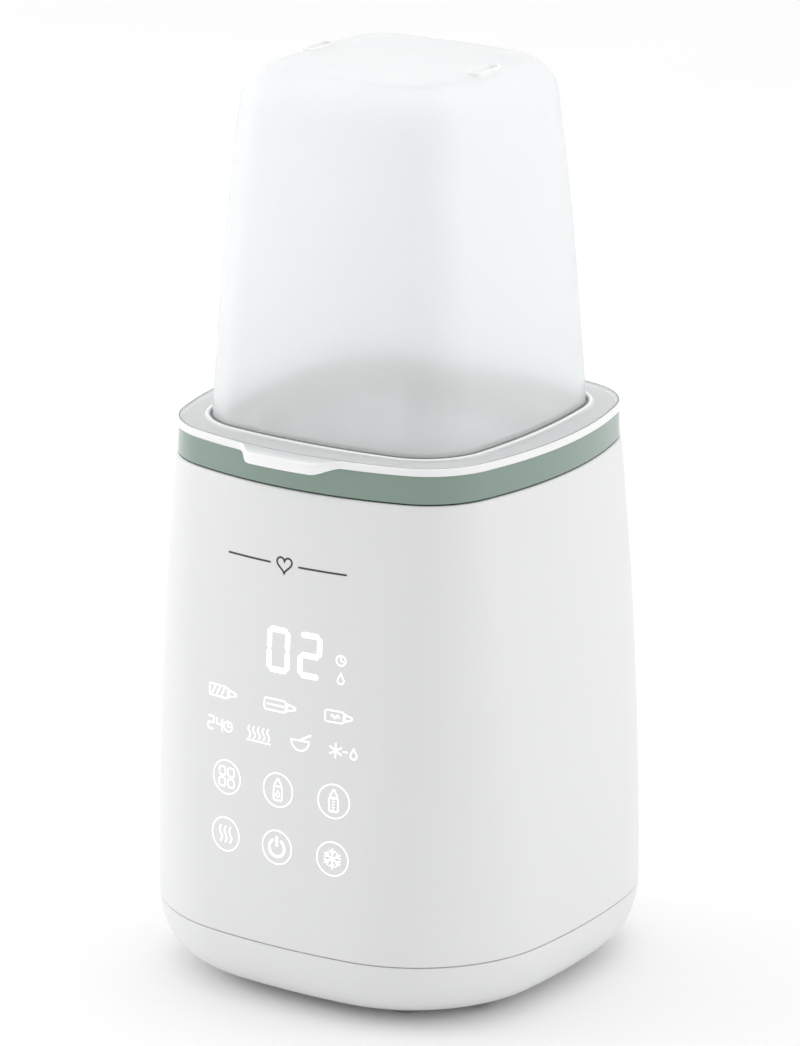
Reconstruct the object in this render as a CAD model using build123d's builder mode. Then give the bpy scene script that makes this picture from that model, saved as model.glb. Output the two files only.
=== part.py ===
from build123d import *
from math import acos, asin, cos, radians, sin, sqrt
import os

# Bottle warmer: a water-bath warmer for feeding bottles, 1 unit = 1 mm.
# Origin: middle of the footprint, on the surface the feet stand on. +Z up, the display faces -Y.

os.makedirs("parts", exist_ok=True)

# ---------------------------------------------------------------- driving dimensions
# Well and lid, which set how wide the top of the body is
well_radius = 41.0
well_wall = 1.5
coaming_margin = 1.2
coaming_wall = 1.8
coaming_height = 3.0
coaming_clearance = 0.6
dome_wall = 2.0
dome_height = 104.5
dome_taper = 9.2
dome_bulge = 0.8
dome_round = 11.0
dome_side_radius = 195.0
dome_corner_radius = 20.0
flange_width = 11.4
flange_thickness = 2.2
rim_round = 0.95
bead_width = 1.8
bead_height = 1.0
tab_width = 28.0
tab_reach = 5.0
tab_lip = 1.6
tab_lip_width = 2.0
tab_lip_round = 0.9
tab_root = 20.0
tab_corner = 4.0
vent_length = 12.0
vent_width = 3.2
vent_from_edge = 8.8

# Body: a square with bowed sides and round corners, which widens towards the parting seam
foot_lift = 2.0
base_height = 19.0
shell_height = 137.0
trim_height = 8.3
trim_draft = 0.5
shadow_gap = 0.4
top_side_radius = 126.0
top_corner_radius = 24.7
body_flare = 7.6
body_bulge = 0.9
seam_side_radius = 206.0
seam_corner_radius = 45.6
bottom_corner_radius = 27.8
bottom_round_inset = 23.5
bottom_round_above_seam = 5.7
bottom_round_power = 2.9
shell_wall = 2.5
base_floor = 2.5
lip_height = 3.0
lip_root = 2.0
lip_wall = 1.6
lip_clearance = 0.4

# Support deck that stands on a ledge inside the shell and carries the well
deck_drop = 5.0
deck_thickness = 3.0
deck_fit = 0.2
ledge_width = 2.5
ledge_height = 2.0
ledge_gap = 16.0
well_flange_width = 9.0
well_flange_thickness = 2.0
well_clearance = 0.5
plate_rise = 33.0
floor_thickness = 2.0
gasket_height = 1.5
gasket_width = 3.0
trim_wall = 2.0
snap_width = 10.0
snap_thickness = 1.6
snap_below_deck = 3.0
snap_root = 1.0
slot_clearance = 0.3

# Heating set under the well
plate_inside_well = 6.5
plate_flange_width = 4.0
plate_flange_thickness = 4.5
plate_fit = 0.5
plate_edge = 0.6
seal_height = 1.5
clamp_post_radius = 3.5
clamp_post_inset = 2.5
clamp_thickness = 1.5
clamp_inner_radius = 26.0
clamp_screw_length = 6.5
bridge_width = 8.0
bridge_thickness = 1.2
bridge_overlap = 4.0
heater_length = 42.0
heater_width = 18.0
heater_height = 6.0
heater_corner = 2.0
terminal_spread = 6.6
terminal_size = (2.6, 0.8, 3.5)
thermostat_radius = 7.0
thermostat_height = 9.0
blade_spread = 3.5
blade_size = (0.8, 4.0, 4.0)
sensor_gap = 1.5
sensor_x = -8.0
sensor_radius = 3.0
sensor_height = 7.0
fuse_radius = 2.0
fuse_length = 12.0
fuse_x = 2.0

# Basket
basket_gap = 3.5
basket_wall = 1.4
basket_floor = 2.0
basket_stand = 4.0
basket_rest = 0.2
basket_rim_height = 3.0
basket_rim_width = 1.2
basket_rim_round = 1.0
leg_count = 3
leg_radius = 3.0
leg_inset = 3.5
basket_below_rim = 16.0
ear_width = 20.0
ear_height = 11.0
ear_hole_width = 12.0
ear_hole_height = 3.6
ear_hole_from_top = 2.5
ear_corner = 4.0
slot_count = 12
slot_width = 3.0
slot_from_ends = 12.0
slot_turn = 15.0
drain_radius = 1.9
drain_pitch = 14.0
drain_ring_count = 8
drain_ring_inset = 8.0

# Display set behind the front wall
display_rise = 63.0
display_half_height = 42.0
display_half_width = 31.0
display_tilt = 3.1
display_depth = 11.0
board_thickness = 1.6
board_corner = 2.0
wall_clearance = 0.4
digit_centre = (4.0, 27.0)
digit_size = (27.0, 19.0, 5.0)
key_pitch = 18.7
key_rows = (-14.7, -32.0)
key_well_radius = 6.5
upper_legend_row = 10.7
upper_legends = (-20.0, -0.3, 19.0)
lower_legend_row = 0.7
lower_legends = (-22.0, -7.4, 7.2, 21.6)
unit_place = (21.0, 22.0)
legend_cell = (10.0, 5.0)
unit_cell = (5.0, 10.0)
module_clearance = 0.5
legend_led = (3.2, 1.6)
key_led = (1.6, 0.8)
key_led_rise = 5.2
led_height = 0.9
spring_radius = 3.6
spring_wire = 0.4
spring_pitch = 1.6
spring_turns = 4
spring_lift = 0.1
display_post_radius = 3.0
display_post_margin = 0.5
display_screw_length = 7.0
ribbon_thickness = 0.6
ribbon_width = 12.0
ribbon_rise = 12.0
ribbon_reach = 4.0
ribbon_bend = 2.0
ribbon_y = -30.0

# Fasteners
screw_radius = 1.5
screw_head_radius = 2.9
screw_head_height = 1.8
screw_length = 8.0
recess_length = 3.2
recess_width = 0.7
recess_depth = 0.9
hole_clearance = 0.3
hole_spare = 0.5
head_margin = 0.6
well_screw_tail = 3.0
overrun = 1.0

# Bottom: posts, feet, boards
post_side_inset = 13.0
post_front_inset = 31.0
post_radius = 4.5
post_height = 20.0
head_below_seam = 3.0
base_screw_length = 11.0
post_rib = 2.0
foot_side_inset = 14.0
foot_front_inset = 3.0
foot_radius = 6.0
foot_chamfer = 0.5
foot_recess = 1.0
board_width = 58.0
board_length = 74.0
standoff_height = 8.0
standoff_radius = 3.0
standoff_inset = 4.0
louvre_width = 2.4
louvre_length = 22.0
louvre_pitch = 6.0
louvre_count = 5

# Cord entry at the back
gland_height = 13.0
gland_radius = 6.0
gland_flange_radius = 8.0
gland_flange_thickness = 2.0
gland_grip = 4.5
gland_sink = 0.2
gland_round = 0.8
gland_pad_margin = 2.0
cord_radius = 3.5
cord_clearance = 0.15
clamp_block_width = 26.0
clamp_block_depth = 8.0
clamp_bar_height = 6.0
clamp_bar_corner = 1.5
clamp_from_gland = 2.0
clamp_screw_inset = 4.0
clamp_squeeze = 0.5

# Components on the main board: middle (x, y) and size (x, y, z)
component_chamfer = 0.5
relay_place, relay_size = (16.0, 19.0), (15.0, 19.0, 15.0)
transformer_place, transformer_size = (-12.0, 20.0), (20.0, 18.0, 16.0)
mains_connector_place, mains_connector_size = (0.0, 32.0), (16.0, 6.0, 9.0)
lead_connector_place, lead_connector_size = (-20.0, -4.0), (7.0, 16.0, 8.0)
chip_place, chip_size = (8.0, -11.0), (10.0, 10.0, 1.8)
capacitor_place, capacitor_radius, capacitor_height = (8.0, 3.0), 5.0, 16.0
buzzer_place, buzzer_radius, buzzer_height = (13.0, -27.0), 6.0, 7.0

# Leads under the well
lead_radius = 1.1
lead_bend = 2.5
lead_side = 33.0
lead_turn = 37.0
lead_drop = 14.0
near_lead_y = -7.0
far_lead_y = 0.0
sensor_lead_drop = 7.0
sensor_lead_y = -11.0

# ---------------------------------------------------------------- heights and half widths
z_base = foot_lift
z_seam = z_base + base_height
z_shell_top = z_seam + shell_height
z_rim = z_shell_top + trim_height
z_flange_top = z_rim + flange_thickness
z_dome_top = z_flange_top + dome_height
z_deck = z_shell_top - deck_drop
z_ledge = z_deck - deck_thickness
z_plate = z_seam + plate_rise
z_floor = z_base + base_floor

coaming_inner_half = well_radius + coaming_margin
coaming_outer_half = coaming_inner_half + coaming_wall
dome_inner_half = coaming_outer_half + coaming_clearance
dome_half = dome_inner_half + dome_wall
top_half = dome_half + flange_width
plate_radius = well_radius - plate_inside_well
plate_boss_radius = plate_radius - plate_flange_width
clamp_post_circle = well_radius - clamp_post_inset
post_x = top_half - post_side_inset
post_y = top_half - post_front_inset
bottom_half = top_half + body_flare - bottom_round_inset
foot_x = bottom_half - foot_side_inset
foot_y = bottom_half - foot_front_inset
bottom_round_height = base_height + bottom_round_above_seam


# ---------------------------------------------------------------- shared shapes
def square_section(height, half, side_radius, corner_radius):
    """A square whose four sides are shallow arcs, joined by tangent corner arcs."""
    ratio = (side_radius - half) / (side_radius - corner_radius)
    turn = acos(ratio / sqrt(2)) - radians(45)
    side_x = side_radius * sin(turn)
    side_y = side_radius - half - side_radius * cos(turn)
    centre = (side_radius - corner_radius) * sin(turn)
    reach = centre + corner_radius / sqrt(2)
    with BuildSketch(Plane.XY.offset(height)) as section:
        with BuildLine():
            for quarter in range(4):
                start = Vector(-side_x, side_y).rotate(Axis.Z, 90 * quarter)
                middle = Vector(0, -half).rotate(Axis.Z, 90 * quarter)
                end = Vector(side_x, side_y).rotate(Axis.Z, 90 * quarter)
                corner = Vector(reach, -reach).rotate(Axis.Z, 90 * quarter)
                after = Vector(-side_y, -side_x).rotate(Axis.Z, 90 * quarter)
                ThreePointArc(start, middle, end)
                ThreePointArc(end, corner, after)
        make_face()
    return section.sketch


def bottom_inset(height):
    """How far the big rounding of the bottom edge has pulled the side in at this height."""
    fall = max(0.0, (z_seam + bottom_round_above_seam - height) / bottom_round_height)
    power = bottom_round_power
    return bottom_round_inset * (1 - max(0.0, 1 - fall**power) ** (1 / power))


def body_half(height):
    """Half the body's width across its flats: a gentle flare with a slight bulge."""
    down = (z_shell_top - height) / shell_height
    return top_half + body_flare * down + 4 * body_bulge * down * (1 - down) - bottom_inset(height)


def body_section(height, inset=0.0):
    """The body's outline at a height, pulled in by inset."""
    down = (z_shell_top - height) / shell_height
    pulled = bottom_inset(height)
    side = top_side_radius + (seam_side_radius - top_side_radius) * down - pulled
    corner = top_corner_radius + (seam_corner_radius - top_corner_radius) * down
    corner -= (seam_corner_radius - bottom_corner_radius) * pulled / bottom_round_inset
    return square_section(height, body_half(height) - inset, side - inset, corner - inset)


def flat_section(height, inset=0.0):
    """The same outline, laid on the plane it is sketched on."""
    return body_section(height, inset).moved(Location((0, 0, -height)))


def body_stations(low, high, count):
    """Evenly spaced heights from low to high."""
    return [low + (high - low) * step / (count - 1) for step in range(count)]


def dome_section(height, inset=0.0, shrink=0.0):
    """The dome's outline at a height; shrink is the extra inset of its rounded top edge."""
    up = (height - z_flange_top) / dome_height
    pulled = dome_taper * up - 4 * dome_bulge * up * (1 - up) + shrink
    corner = dome_corner_radius - 0.5 * dome_taper * up - 0.6 * shrink
    return square_section(height, dome_half - pulled - inset, dome_side_radius - inset, corner - inset)


def screw(location_plane, length=screw_length):
    """A pan-head screw: its plane's origin is under the head, its normal points out of the head."""
    with BuildPart() as one_screw:
        with BuildSketch(location_plane):
            Circle(screw_head_radius)
        extrude(amount=screw_head_height)
        with BuildSketch(location_plane.offset(screw_head_height)):
            Rectangle(recess_length, recess_width)
            Rectangle(recess_width, recess_length)
        extrude(amount=-recess_depth, mode=Mode.SUBTRACT)
        with BuildSketch(location_plane):
            Circle(screw_radius)
        extrude(amount=-length)
    return one_screw.part


def save(piece, name):
    """Labels a finished piece and writes it."""
    piece.part.label = name
    export_step(piece.part, "parts/" + name + ".step")


post_spots = [(x, y) for x in (-post_x, post_x) for y in (-post_y, post_y)]
foot_places = [(x, y) for x in (-foot_x, foot_x) for y in (-foot_y, foot_y)]
standoff_x = board_width / 2 - standoff_inset
standoff_y = board_length / 2 - standoff_inset
standoff_places = [(x, y) for x in (-standoff_x, standoff_x) for y in (-standoff_y, standoff_y)]
well_screw_circle = well_radius + well_wall + well_flange_width - screw_head_radius - head_margin
z_board = z_floor + standoff_height

# The display set stands on a plane that leans with the front wall: x is across, y is up the wall
z_display = z_seam + display_rise
display_front = body_half(z_display) - shell_wall - display_depth
display_plane = Plane(
    origin=(0, -display_front, z_display),
    x_dir=(1, 0, 0),
    z_dir=(0, -cos(radians(display_tilt)), sin(radians(display_tilt))),
)
display_post_x = display_half_width - display_post_radius - display_post_margin
display_post_y = display_half_height - display_post_radius - display_post_margin
display_posts = [(x, y) for x in (-display_post_x, display_post_x) for y in (-display_post_y, display_post_y)]

# The cord comes in through the back wall, along Y
z_gland = z_seam + gland_height
gland_seat = body_half(z_gland) - gland_flange_thickness - gland_sink
gland_plane = Plane(origin=(0, gland_seat, z_gland), x_dir=(1, 0, 0), z_dir=(0, 1, 0))

# ---------------------------------------------------------------- outer shell
# The hollow of the shell is made first, with its ledge, posts and ribs left standing in it
with BuildPart() as shell_hollow:
    loft(sections=[body_section(z, shell_wall) for z in body_stations(z_seam, z_shell_top, 5)])
    # the ledge stops short of the middle of each side, where the trim ring's snaps hang down
    with BuildSketch(Plane.XY.offset(z_ledge)):
        Rectangle(4 * top_half, 4 * top_half)
        add(flat_section(z_deck, shell_wall + ledge_width), mode=Mode.SUBTRACT)
        Rectangle(ledge_gap, 4 * top_half, mode=Mode.SUBTRACT)
        Rectangle(4 * top_half, ledge_gap, mode=Mode.SUBTRACT)
    extrude(amount=-ledge_height, mode=Mode.SUBTRACT)
    with BuildSketch(Plane.XY.offset(z_seam)):
        with Locations(*post_spots):
            Circle(post_radius)
    extrude(amount=post_height, mode=Mode.SUBTRACT)
    # each post's rib starts above the base cover's lip
    lip_room = lip_height + slot_clearance
    with BuildSketch(Plane.XY.offset(z_seam + lip_room)):
        for side, align in ((-1, Align.MAX), (1, Align.MIN)):
            with Locations((side * post_x, -post_y), (side * post_x, post_y)):
                Rectangle(top_half, post_rib, align=(align, Align.CENTER))
    extrude(amount=post_height - lip_room, mode=Mode.SUBTRACT)
    with BuildSketch(display_plane.offset(board_thickness)):
        with Locations(*display_posts):
            Circle(display_post_radius)
    extrude(amount=3 * display_depth, mode=Mode.SUBTRACT)
    with BuildSketch(gland_plane.offset(-gland_grip)):
        Circle(gland_flange_radius + gland_pad_margin)
    extrude(amount=3 * gland_grip, mode=Mode.SUBTRACT)

with BuildPart() as outer_shell:
    loft(sections=[body_section(z) for z in body_stations(z_seam, z_shell_top - shadow_gap, 5)])
    add(shell_hollow.part, mode=Mode.SUBTRACT)
    # screw holes, from below into the corner posts and from inside into the display posts
    with BuildSketch(Plane.XY.offset(z_seam)):
        with Locations(*post_spots):
            Circle(screw_radius)
    extrude(amount=base_screw_length - head_below_seam + hole_spare, mode=Mode.SUBTRACT)
    with BuildSketch(display_plane.offset(board_thickness)):
        with Locations(*display_posts):
            Circle(screw_radius)
    extrude(amount=display_screw_length - board_thickness + hole_spare, mode=Mode.SUBTRACT)
    # cord gland: flat seat outside and a round hole through the pad
    with BuildSketch(gland_plane):
        Circle(gland_flange_radius + slot_clearance)
    extrude(amount=3 * gland_grip, mode=Mode.SUBTRACT)
    with BuildSketch(gland_plane.offset(-gland_grip)):
        Circle(gland_radius)
    extrude(amount=3 * gland_grip, mode=Mode.SUBTRACT)
save(outer_shell, "outer_shell")

# ---------------------------------------------------------------- support deck
snap_circle = top_half - shell_wall - lip_clearance - snap_thickness / 2
with BuildPart() as support_deck:
    with BuildSketch(Plane.XY.offset(z_ledge)):
        add(flat_section(z_deck, shell_wall + deck_fit))
        Circle(well_radius + well_wall + well_clearance, mode=Mode.SUBTRACT)
        # holes for the well's screws and slots for the trim ring's snaps
        with PolarLocations(well_screw_circle, 4, start_angle=45):
            Circle(screw_radius, mode=Mode.SUBTRACT)
        with PolarLocations(snap_circle, 4):
            Rectangle(snap_thickness + 2 * slot_clearance, snap_width + 2 * slot_clearance,
                      mode=Mode.SUBTRACT)
    extrude(amount=deck_thickness)
save(support_deck, "support_deck")

# ---------------------------------------------------------------- base cover
round_angles = (0, 20, 38, 54, 68, 80, 90)
round_start = asin(min(1.0, bottom_round_above_seam / bottom_round_height) ** (bottom_round_power / 2))


def base_stations(low):
    """Heights that follow the rounded edge closely, from the seam down to low."""
    heights = []
    for angle in round_angles:
        swept = round_start + (radians(90) - round_start) * angle / 90
        fall = sin(swept) ** (2 / bottom_round_power) * bottom_round_height
        height = z_seam + bottom_round_above_seam - fall
        heights.append(z_seam - (z_seam - height) * (z_seam - low) / base_height)
    return heights


with BuildPart() as base_hollow:
    # the inside follows the outside one wall in, and ends at the floor
    hollow_heights = base_stations(z_base)
    sections = []
    for height in hollow_heights:
        raised = z_seam - (z_seam - height) * (base_height - base_floor) / base_height
        outline = body_section(height, shell_wall)
        sections.append(outline.moved(Location((0, 0, raised - height))))
    loft(sections=sections)
    with BuildSketch(Plane.XY.offset(z_base)):
        with Locations(*post_spots):
            Circle(post_radius)
    extrude(amount=base_height, mode=Mode.SUBTRACT)
    with BuildSketch(Plane.XY.offset(z_base)):
        with Locations(*standoff_places):
            Circle(standoff_radius)
    extrude(amount=z_board - z_base, mode=Mode.SUBTRACT)

with BuildPart() as base_cover:
    loft(sections=[body_section(height) for height in base_stations(z_base)])
    add(base_hollow.part, mode=Mode.SUBTRACT)
    # lip that stands up inside the shell
    lip_outer = shell_wall + lip_clearance
    for low, high, outer in ((-lip_root, 0, shell_wall / 2), (0, lip_height, lip_outer)):
        with BuildSketch(Plane.XY.offset(z_seam + low)):
            add(flat_section(z_seam, outer))
            add(flat_section(z_seam, lip_outer + lip_wall), mode=Mode.SUBTRACT)
        extrude(amount=high - low)
    # screws go in from below: a clearance hole and a deep counterbore for the head
    with BuildSketch(Plane.XY.offset(z_base - overrun)):
        with Locations(*post_spots):
            Circle(screw_radius + hole_clearance)
    extrude(amount=base_height + 2 * overrun, mode=Mode.SUBTRACT)
    with BuildSketch(Plane.XY.offset(z_base - overrun)):
        with Locations(*post_spots):
            Circle(screw_head_radius + hole_clearance)
    extrude(amount=base_height + overrun - head_below_seam, mode=Mode.SUBTRACT)
    # recesses for the feet, holes in the standoffs, and a row of air slots
    with BuildSketch(Plane.XY):
        with Locations(*foot_places):
            Circle(foot_radius)
    extrude(amount=z_base + foot_recess, mode=Mode.SUBTRACT)
    with BuildSketch(Plane.XY.offset(z_board)):
        with Locations(*standoff_places):
            Circle(screw_radius)
    extrude(amount=-(screw_length - board_thickness + hole_spare), mode=Mode.SUBTRACT)
    with BuildSketch(Plane.XY.offset(z_base - overrun)):
        with GridLocations(0, louvre_pitch, 1, louvre_count):
            SlotOverall(louvre_length, louvre_width)
    extrude(amount=base_floor + overrun, mode=Mode.SUBTRACT)
    # block under the cord, with half of the cord's groove in its top
    clamp_y = gland_seat - gland_grip - gland_flange_thickness - clamp_from_gland - clamp_block_depth / 2
    with BuildSketch(Plane.XY.offset(z_floor)):
        with Locations((0, clamp_y)):
            Rectangle(clamp_block_width, clamp_block_depth)
    extrude(amount=z_gland - clamp_squeeze - z_floor)
    with BuildSketch(Plane(origin=(0, clamp_y, z_gland), x_dir=(1, 0, 0), z_dir=(0, 1, 0))):
        Circle(cord_radius)
    extrude(amount=clamp_block_depth, both=True, mode=Mode.SUBTRACT)
    clamp_screw_x = clamp_block_width / 2 - clamp_screw_inset
    with BuildSketch(Plane.XY.offset(z_gland)):
        with Locations((-clamp_screw_x, clamp_y), (clamp_screw_x, clamp_y)):
            Circle(screw_radius)
    extrude(amount=-(screw_length + hole_spare), mode=Mode.SUBTRACT)
save(base_cover, "base_cover")

# ---------------------------------------------------------------- trim ring
with BuildPart() as trim_ring:
    loft(
        sections=[
            square_section(z_shell_top, top_half, top_side_radius, top_corner_radius),
            square_section(
                z_rim, top_half - trim_draft, top_side_radius - trim_draft, top_corner_radius - trim_draft
            ),
        ],
    )
    # neck that stands inside the shell's rim, down to the support deck
    neck = shell_wall + lip_clearance
    extrude(square_section(z_deck, top_half - neck, top_side_radius - neck, top_corner_radius - neck),
            amount=deck_drop)
    # room inside the neck for the well's flange and its screws
    inside = neck + trim_wall
    extrude(square_section(z_deck, top_half - inside, top_side_radius - inside, top_corner_radius - inside),
            amount=z_rim - trim_wall - z_deck, mode=Mode.SUBTRACT)
    # funnel wall down to the gasket, and the coaming that stands up inside the lid
    z_gasket_top = z_deck + well_flange_thickness + gasket_height
    with BuildSketch(Plane.XY.offset(z_gasket_top)):
        Circle(well_radius + gasket_width)
    extrude(amount=z_rim - z_gasket_top)
    rim_side = dome_side_radius - dome_wall - coaming_clearance
    rim_corner = dome_corner_radius - dome_wall - coaming_clearance
    extrude(square_section(z_rim, coaming_outer_half, rim_side, rim_corner), amount=coaming_height)
    extrude(square_section(z_rim, coaming_inner_half, rim_side - coaming_wall, rim_corner - coaming_wall),
            amount=coaming_height, mode=Mode.SUBTRACT)
    with BuildSketch(Plane.XY.offset(z_gasket_top)):
        Circle(well_radius)
    extrude(amount=z_rim - z_gasket_top + coaming_height, mode=Mode.SUBTRACT)
    # snaps that reach down through the deck
    with BuildSketch(Plane.XY.offset(z_deck + snap_root)):
        with PolarLocations(snap_circle, 4):
            Rectangle(snap_thickness, snap_width)
    extrude(amount=-(snap_root + deck_thickness + snap_below_deck))
save(trim_ring, "trim_ring")

# ---------------------------------------------------------------- frosted lid
dome_shoulder = z_dome_top - dome_round


def dome_sections(inset):
    """Wall and rounded top edge of the dome, outside or one wall in."""
    radius = dome_round - inset
    wall = [dome_section(z, inset) for z in body_stations(z_flange_top, dome_shoulder, 4)]
    top = []
    for angle in (0, 25, 48, 68, 82, 90):
        rise = radius * sin(radians(angle))
        top.append(dome_section(dome_shoulder + rise, inset, radius * (1 - cos(radians(angle)))))
    return wall, top


with BuildPart() as dome_hollow:
    wall, top = dome_sections(dome_wall)
    loft(sections=wall)
    loft(sections=top)
    extrude(square_section(z_rim - overrun, dome_inner_half, dome_side_radius - dome_wall,
                           dome_corner_radius - dome_wall), amount=flange_thickness + overrun)

with BuildPart() as lid:
    extrude(square_section(z_rim, top_half, top_side_radius, top_corner_radius), amount=flange_thickness)
    fillet(lid.edges().filter_by(GeomType.CIRCLE), rim_round)
    # finger tab, which reaches past the rim and turns down a little
    tab_edge = top_half + tab_reach
    with BuildSketch(Plane.XY.offset(z_rim)):
        with Locations((0, tab_root / 2 - tab_edge)):
            RectangleRounded(tab_width, tab_root, tab_corner)
    extrude(amount=flange_thickness)
    with BuildSketch(Plane.XY.offset(z_rim)):
        with Locations((0, tab_lip_width / 2 - tab_edge)):
            RectangleRounded(tab_width, tab_lip_width, tab_lip_round)
    extrude(amount=-tab_lip)
    # raised bead round the foot of the dome
    extrude(square_section(z_flange_top, dome_half + bead_width, dome_side_radius + bead_width,
                           dome_corner_radius + bead_width), amount=bead_height)
    wall, top = dome_sections(0)
    loft(sections=wall)
    loft(sections=top)
    add(dome_hollow.part, mode=Mode.SUBTRACT)
    # two vent slots near the left and right edges of the top
    vent_x = dome_half - dome_taper - vent_from_edge
    with BuildSketch(Plane.XY.offset(dome_shoulder)):
        with Locations((-vent_x, 0), (vent_x, 0)):
            SlotOverall(vent_length, vent_width, rotation=90)
    extrude(amount=2 * dome_round, mode=Mode.SUBTRACT)
save(lid, "lid")

# ---------------------------------------------------------------- water well and heating set
well_outer = well_radius + well_wall
z_well_floor = z_plate - floor_thickness
z_clamp = z_well_floor - seal_height - plate_flange_thickness
post_places = PolarLocations(clamp_post_circle, 3, start_angle=90)

with BuildPart() as inner_well:
    with BuildSketch(Plane.XY.offset(z_well_floor)):
        Circle(well_outer)
    extrude(amount=z_deck - z_well_floor)
    with BuildSketch(Plane.XY.offset(z_deck)):
        Circle(well_outer + well_flange_width)
    extrude(amount=well_flange_thickness)
    with BuildSketch(Plane.XY.offset(z_plate)):
        Circle(well_radius)
    extrude(amount=z_deck + well_flange_thickness - z_plate, mode=Mode.SUBTRACT)
    with BuildSketch(Plane.XY.offset(z_well_floor)):
        with post_places:
            Circle(clamp_post_radius)
    extrude(amount=z_clamp - z_well_floor)
    with BuildSketch(Plane.XY.offset(z_clamp)):
        with post_places:
            Circle(screw_radius)
    extrude(amount=clamp_screw_length - clamp_thickness + hole_spare, mode=Mode.SUBTRACT)
    with BuildSketch(Plane.XY.offset(z_plate)):
        Circle(plate_boss_radius + plate_fit)
    extrude(amount=-floor_thickness, mode=Mode.SUBTRACT)
    with BuildSketch(Plane.XY.offset(z_deck)):
        with PolarLocations(well_screw_circle, 4, start_angle=45):
            Circle(screw_radius + hole_clearance)
    extrude(amount=well_flange_thickness, mode=Mode.SUBTRACT)
save(inner_well, "inner_well")

with BuildPart() as well_gasket:
    with BuildSketch(Plane.XY.offset(z_deck + well_flange_thickness)):
        Circle(well_radius + gasket_width)
        Circle(well_radius, mode=Mode.SUBTRACT)
    extrude(amount=gasket_height)
save(well_gasket, "well_gasket")

with BuildPart() as well_screws:
    for place in PolarLocations(well_screw_circle, 4, start_angle=45):
        spot = place.position
        add(screw(Plane(origin=(spot.X, spot.Y, z_deck + well_flange_thickness)),
                  well_flange_thickness + deck_thickness + well_screw_tail))
save(well_screws, "well_screws")

with BuildPart() as heating_plate:
    with BuildSketch(Plane.XY.offset(z_clamp)):
        Circle(plate_radius)
    extrude(amount=plate_flange_thickness)
    with BuildSketch(Plane.XY.offset(z_clamp)):
        Circle(plate_boss_radius)
    extrude(amount=z_plate - z_clamp)
    fillet(heating_plate.edges().sort_by(Axis.Z)[-1], plate_edge)
save(heating_plate, "heating_plate")

with BuildPart() as plate_seal:
    with BuildSketch(Plane.XY.offset(z_well_floor - seal_height)):
        Circle(plate_radius)
        Circle(plate_boss_radius + plate_fit, mode=Mode.SUBTRACT)
    extrude(amount=seal_height)
save(plate_seal, "plate_seal")

with BuildPart() as ptc_heater:
    with BuildSketch(Plane.XY.offset(z_clamp)):
        RectangleRounded(heater_length, heater_width, heater_corner)
    extrude(amount=-heater_height)
    with BuildSketch(Plane(origin=(-heater_length / 2, 0, z_clamp - heater_height / 2), x_dir=(0, 1, 0),
                           z_dir=(-1, 0, 0))):
        with Locations((-terminal_spread, 0), (terminal_spread, 0)):
            Rectangle(terminal_size[0], terminal_size[1])
    extrude(amount=terminal_size[2])
save(ptc_heater, "ptc_heater")

with BuildPart() as heater_clamp:
    with BuildSketch(Plane.XY.offset(z_clamp)):
        Circle(clamp_post_circle + clamp_post_radius)
        Circle(clamp_inner_radius, mode=Mode.SUBTRACT)
        with post_places:
            Circle(screw_radius + hole_clearance, mode=Mode.SUBTRACT)
    extrude(amount=-clamp_thickness)
    # spring bridge that presses the heater up, pressed from the same sheet
    bridge_low = z_clamp - heater_height - bridge_thickness
    bridge_foot = clamp_inner_radius + bridge_overlap
    with BuildSketch(Plane.XZ):
        with BuildLine():
            Polyline(
                (-bridge_foot, z_clamp - clamp_thickness),
                (-bridge_foot, bridge_low),
                (bridge_foot, bridge_low),
                (bridge_foot, z_clamp - clamp_thickness),
                (bridge_foot - bridge_thickness, z_clamp - clamp_thickness),
                (bridge_foot - bridge_thickness, z_clamp - heater_height),
                (bridge_thickness - bridge_foot, z_clamp - heater_height),
                (bridge_thickness - bridge_foot, z_clamp - clamp_thickness),
                close=True,
            )
        make_face()
    extrude(amount=bridge_width / 2, both=True)
save(heater_clamp, "heater_clamp")

with BuildPart() as clamp_screws:
    for place in post_places:
        spot = place.position
        add(screw(Plane(origin=(spot.X, spot.Y, z_clamp - clamp_thickness), x_dir=(1, 0, 0),
                        z_dir=(0, 0, -1)), clamp_screw_length))
save(clamp_screws, "clamp_screws")

sensor_y = heater_width / 2 + sensor_gap
thermostat_y = sensor_y + thermostat_radius
with BuildPart() as cutoff_thermostat:
    with BuildSketch(Plane.XY.offset(z_clamp)):
        with Locations((0, thermostat_y)):
            Circle(thermostat_radius)
    extrude(amount=-thermostat_height)
    with BuildSketch(Plane.XY.offset(z_clamp - thermostat_height)):
        with Locations((-blade_spread, thermostat_y), (blade_spread, thermostat_y)):
            Rectangle(blade_size[0], blade_size[1])
    extrude(amount=-blade_size[2])
save(cutoff_thermostat, "cutoff_thermostat")

with BuildPart() as temperature_sensor:
    with BuildSketch(Plane.XY.offset(z_clamp)):
        with Locations((sensor_x, -sensor_y - sensor_radius)):
            Circle(sensor_radius)
    extrude(amount=-sensor_height)
save(temperature_sensor, "temperature_sensor")

with BuildPart() as thermal_fuse:
    with BuildSketch(Plane(origin=(fuse_x, -sensor_y - fuse_radius, z_clamp - fuse_radius), x_dir=(0, 1, 0),
                           z_dir=(1, 0, 0))):
        Circle(fuse_radius)
    extrude(amount=fuse_length)
save(thermal_fuse, "thermal_fuse")

# ---------------------------------------------------------------- lift basket
basket_radius = well_radius - basket_gap
z_basket = z_plate + basket_rest
z_basket_floor = z_basket + basket_stand
z_basket_top = z_rim - basket_below_rim

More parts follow.
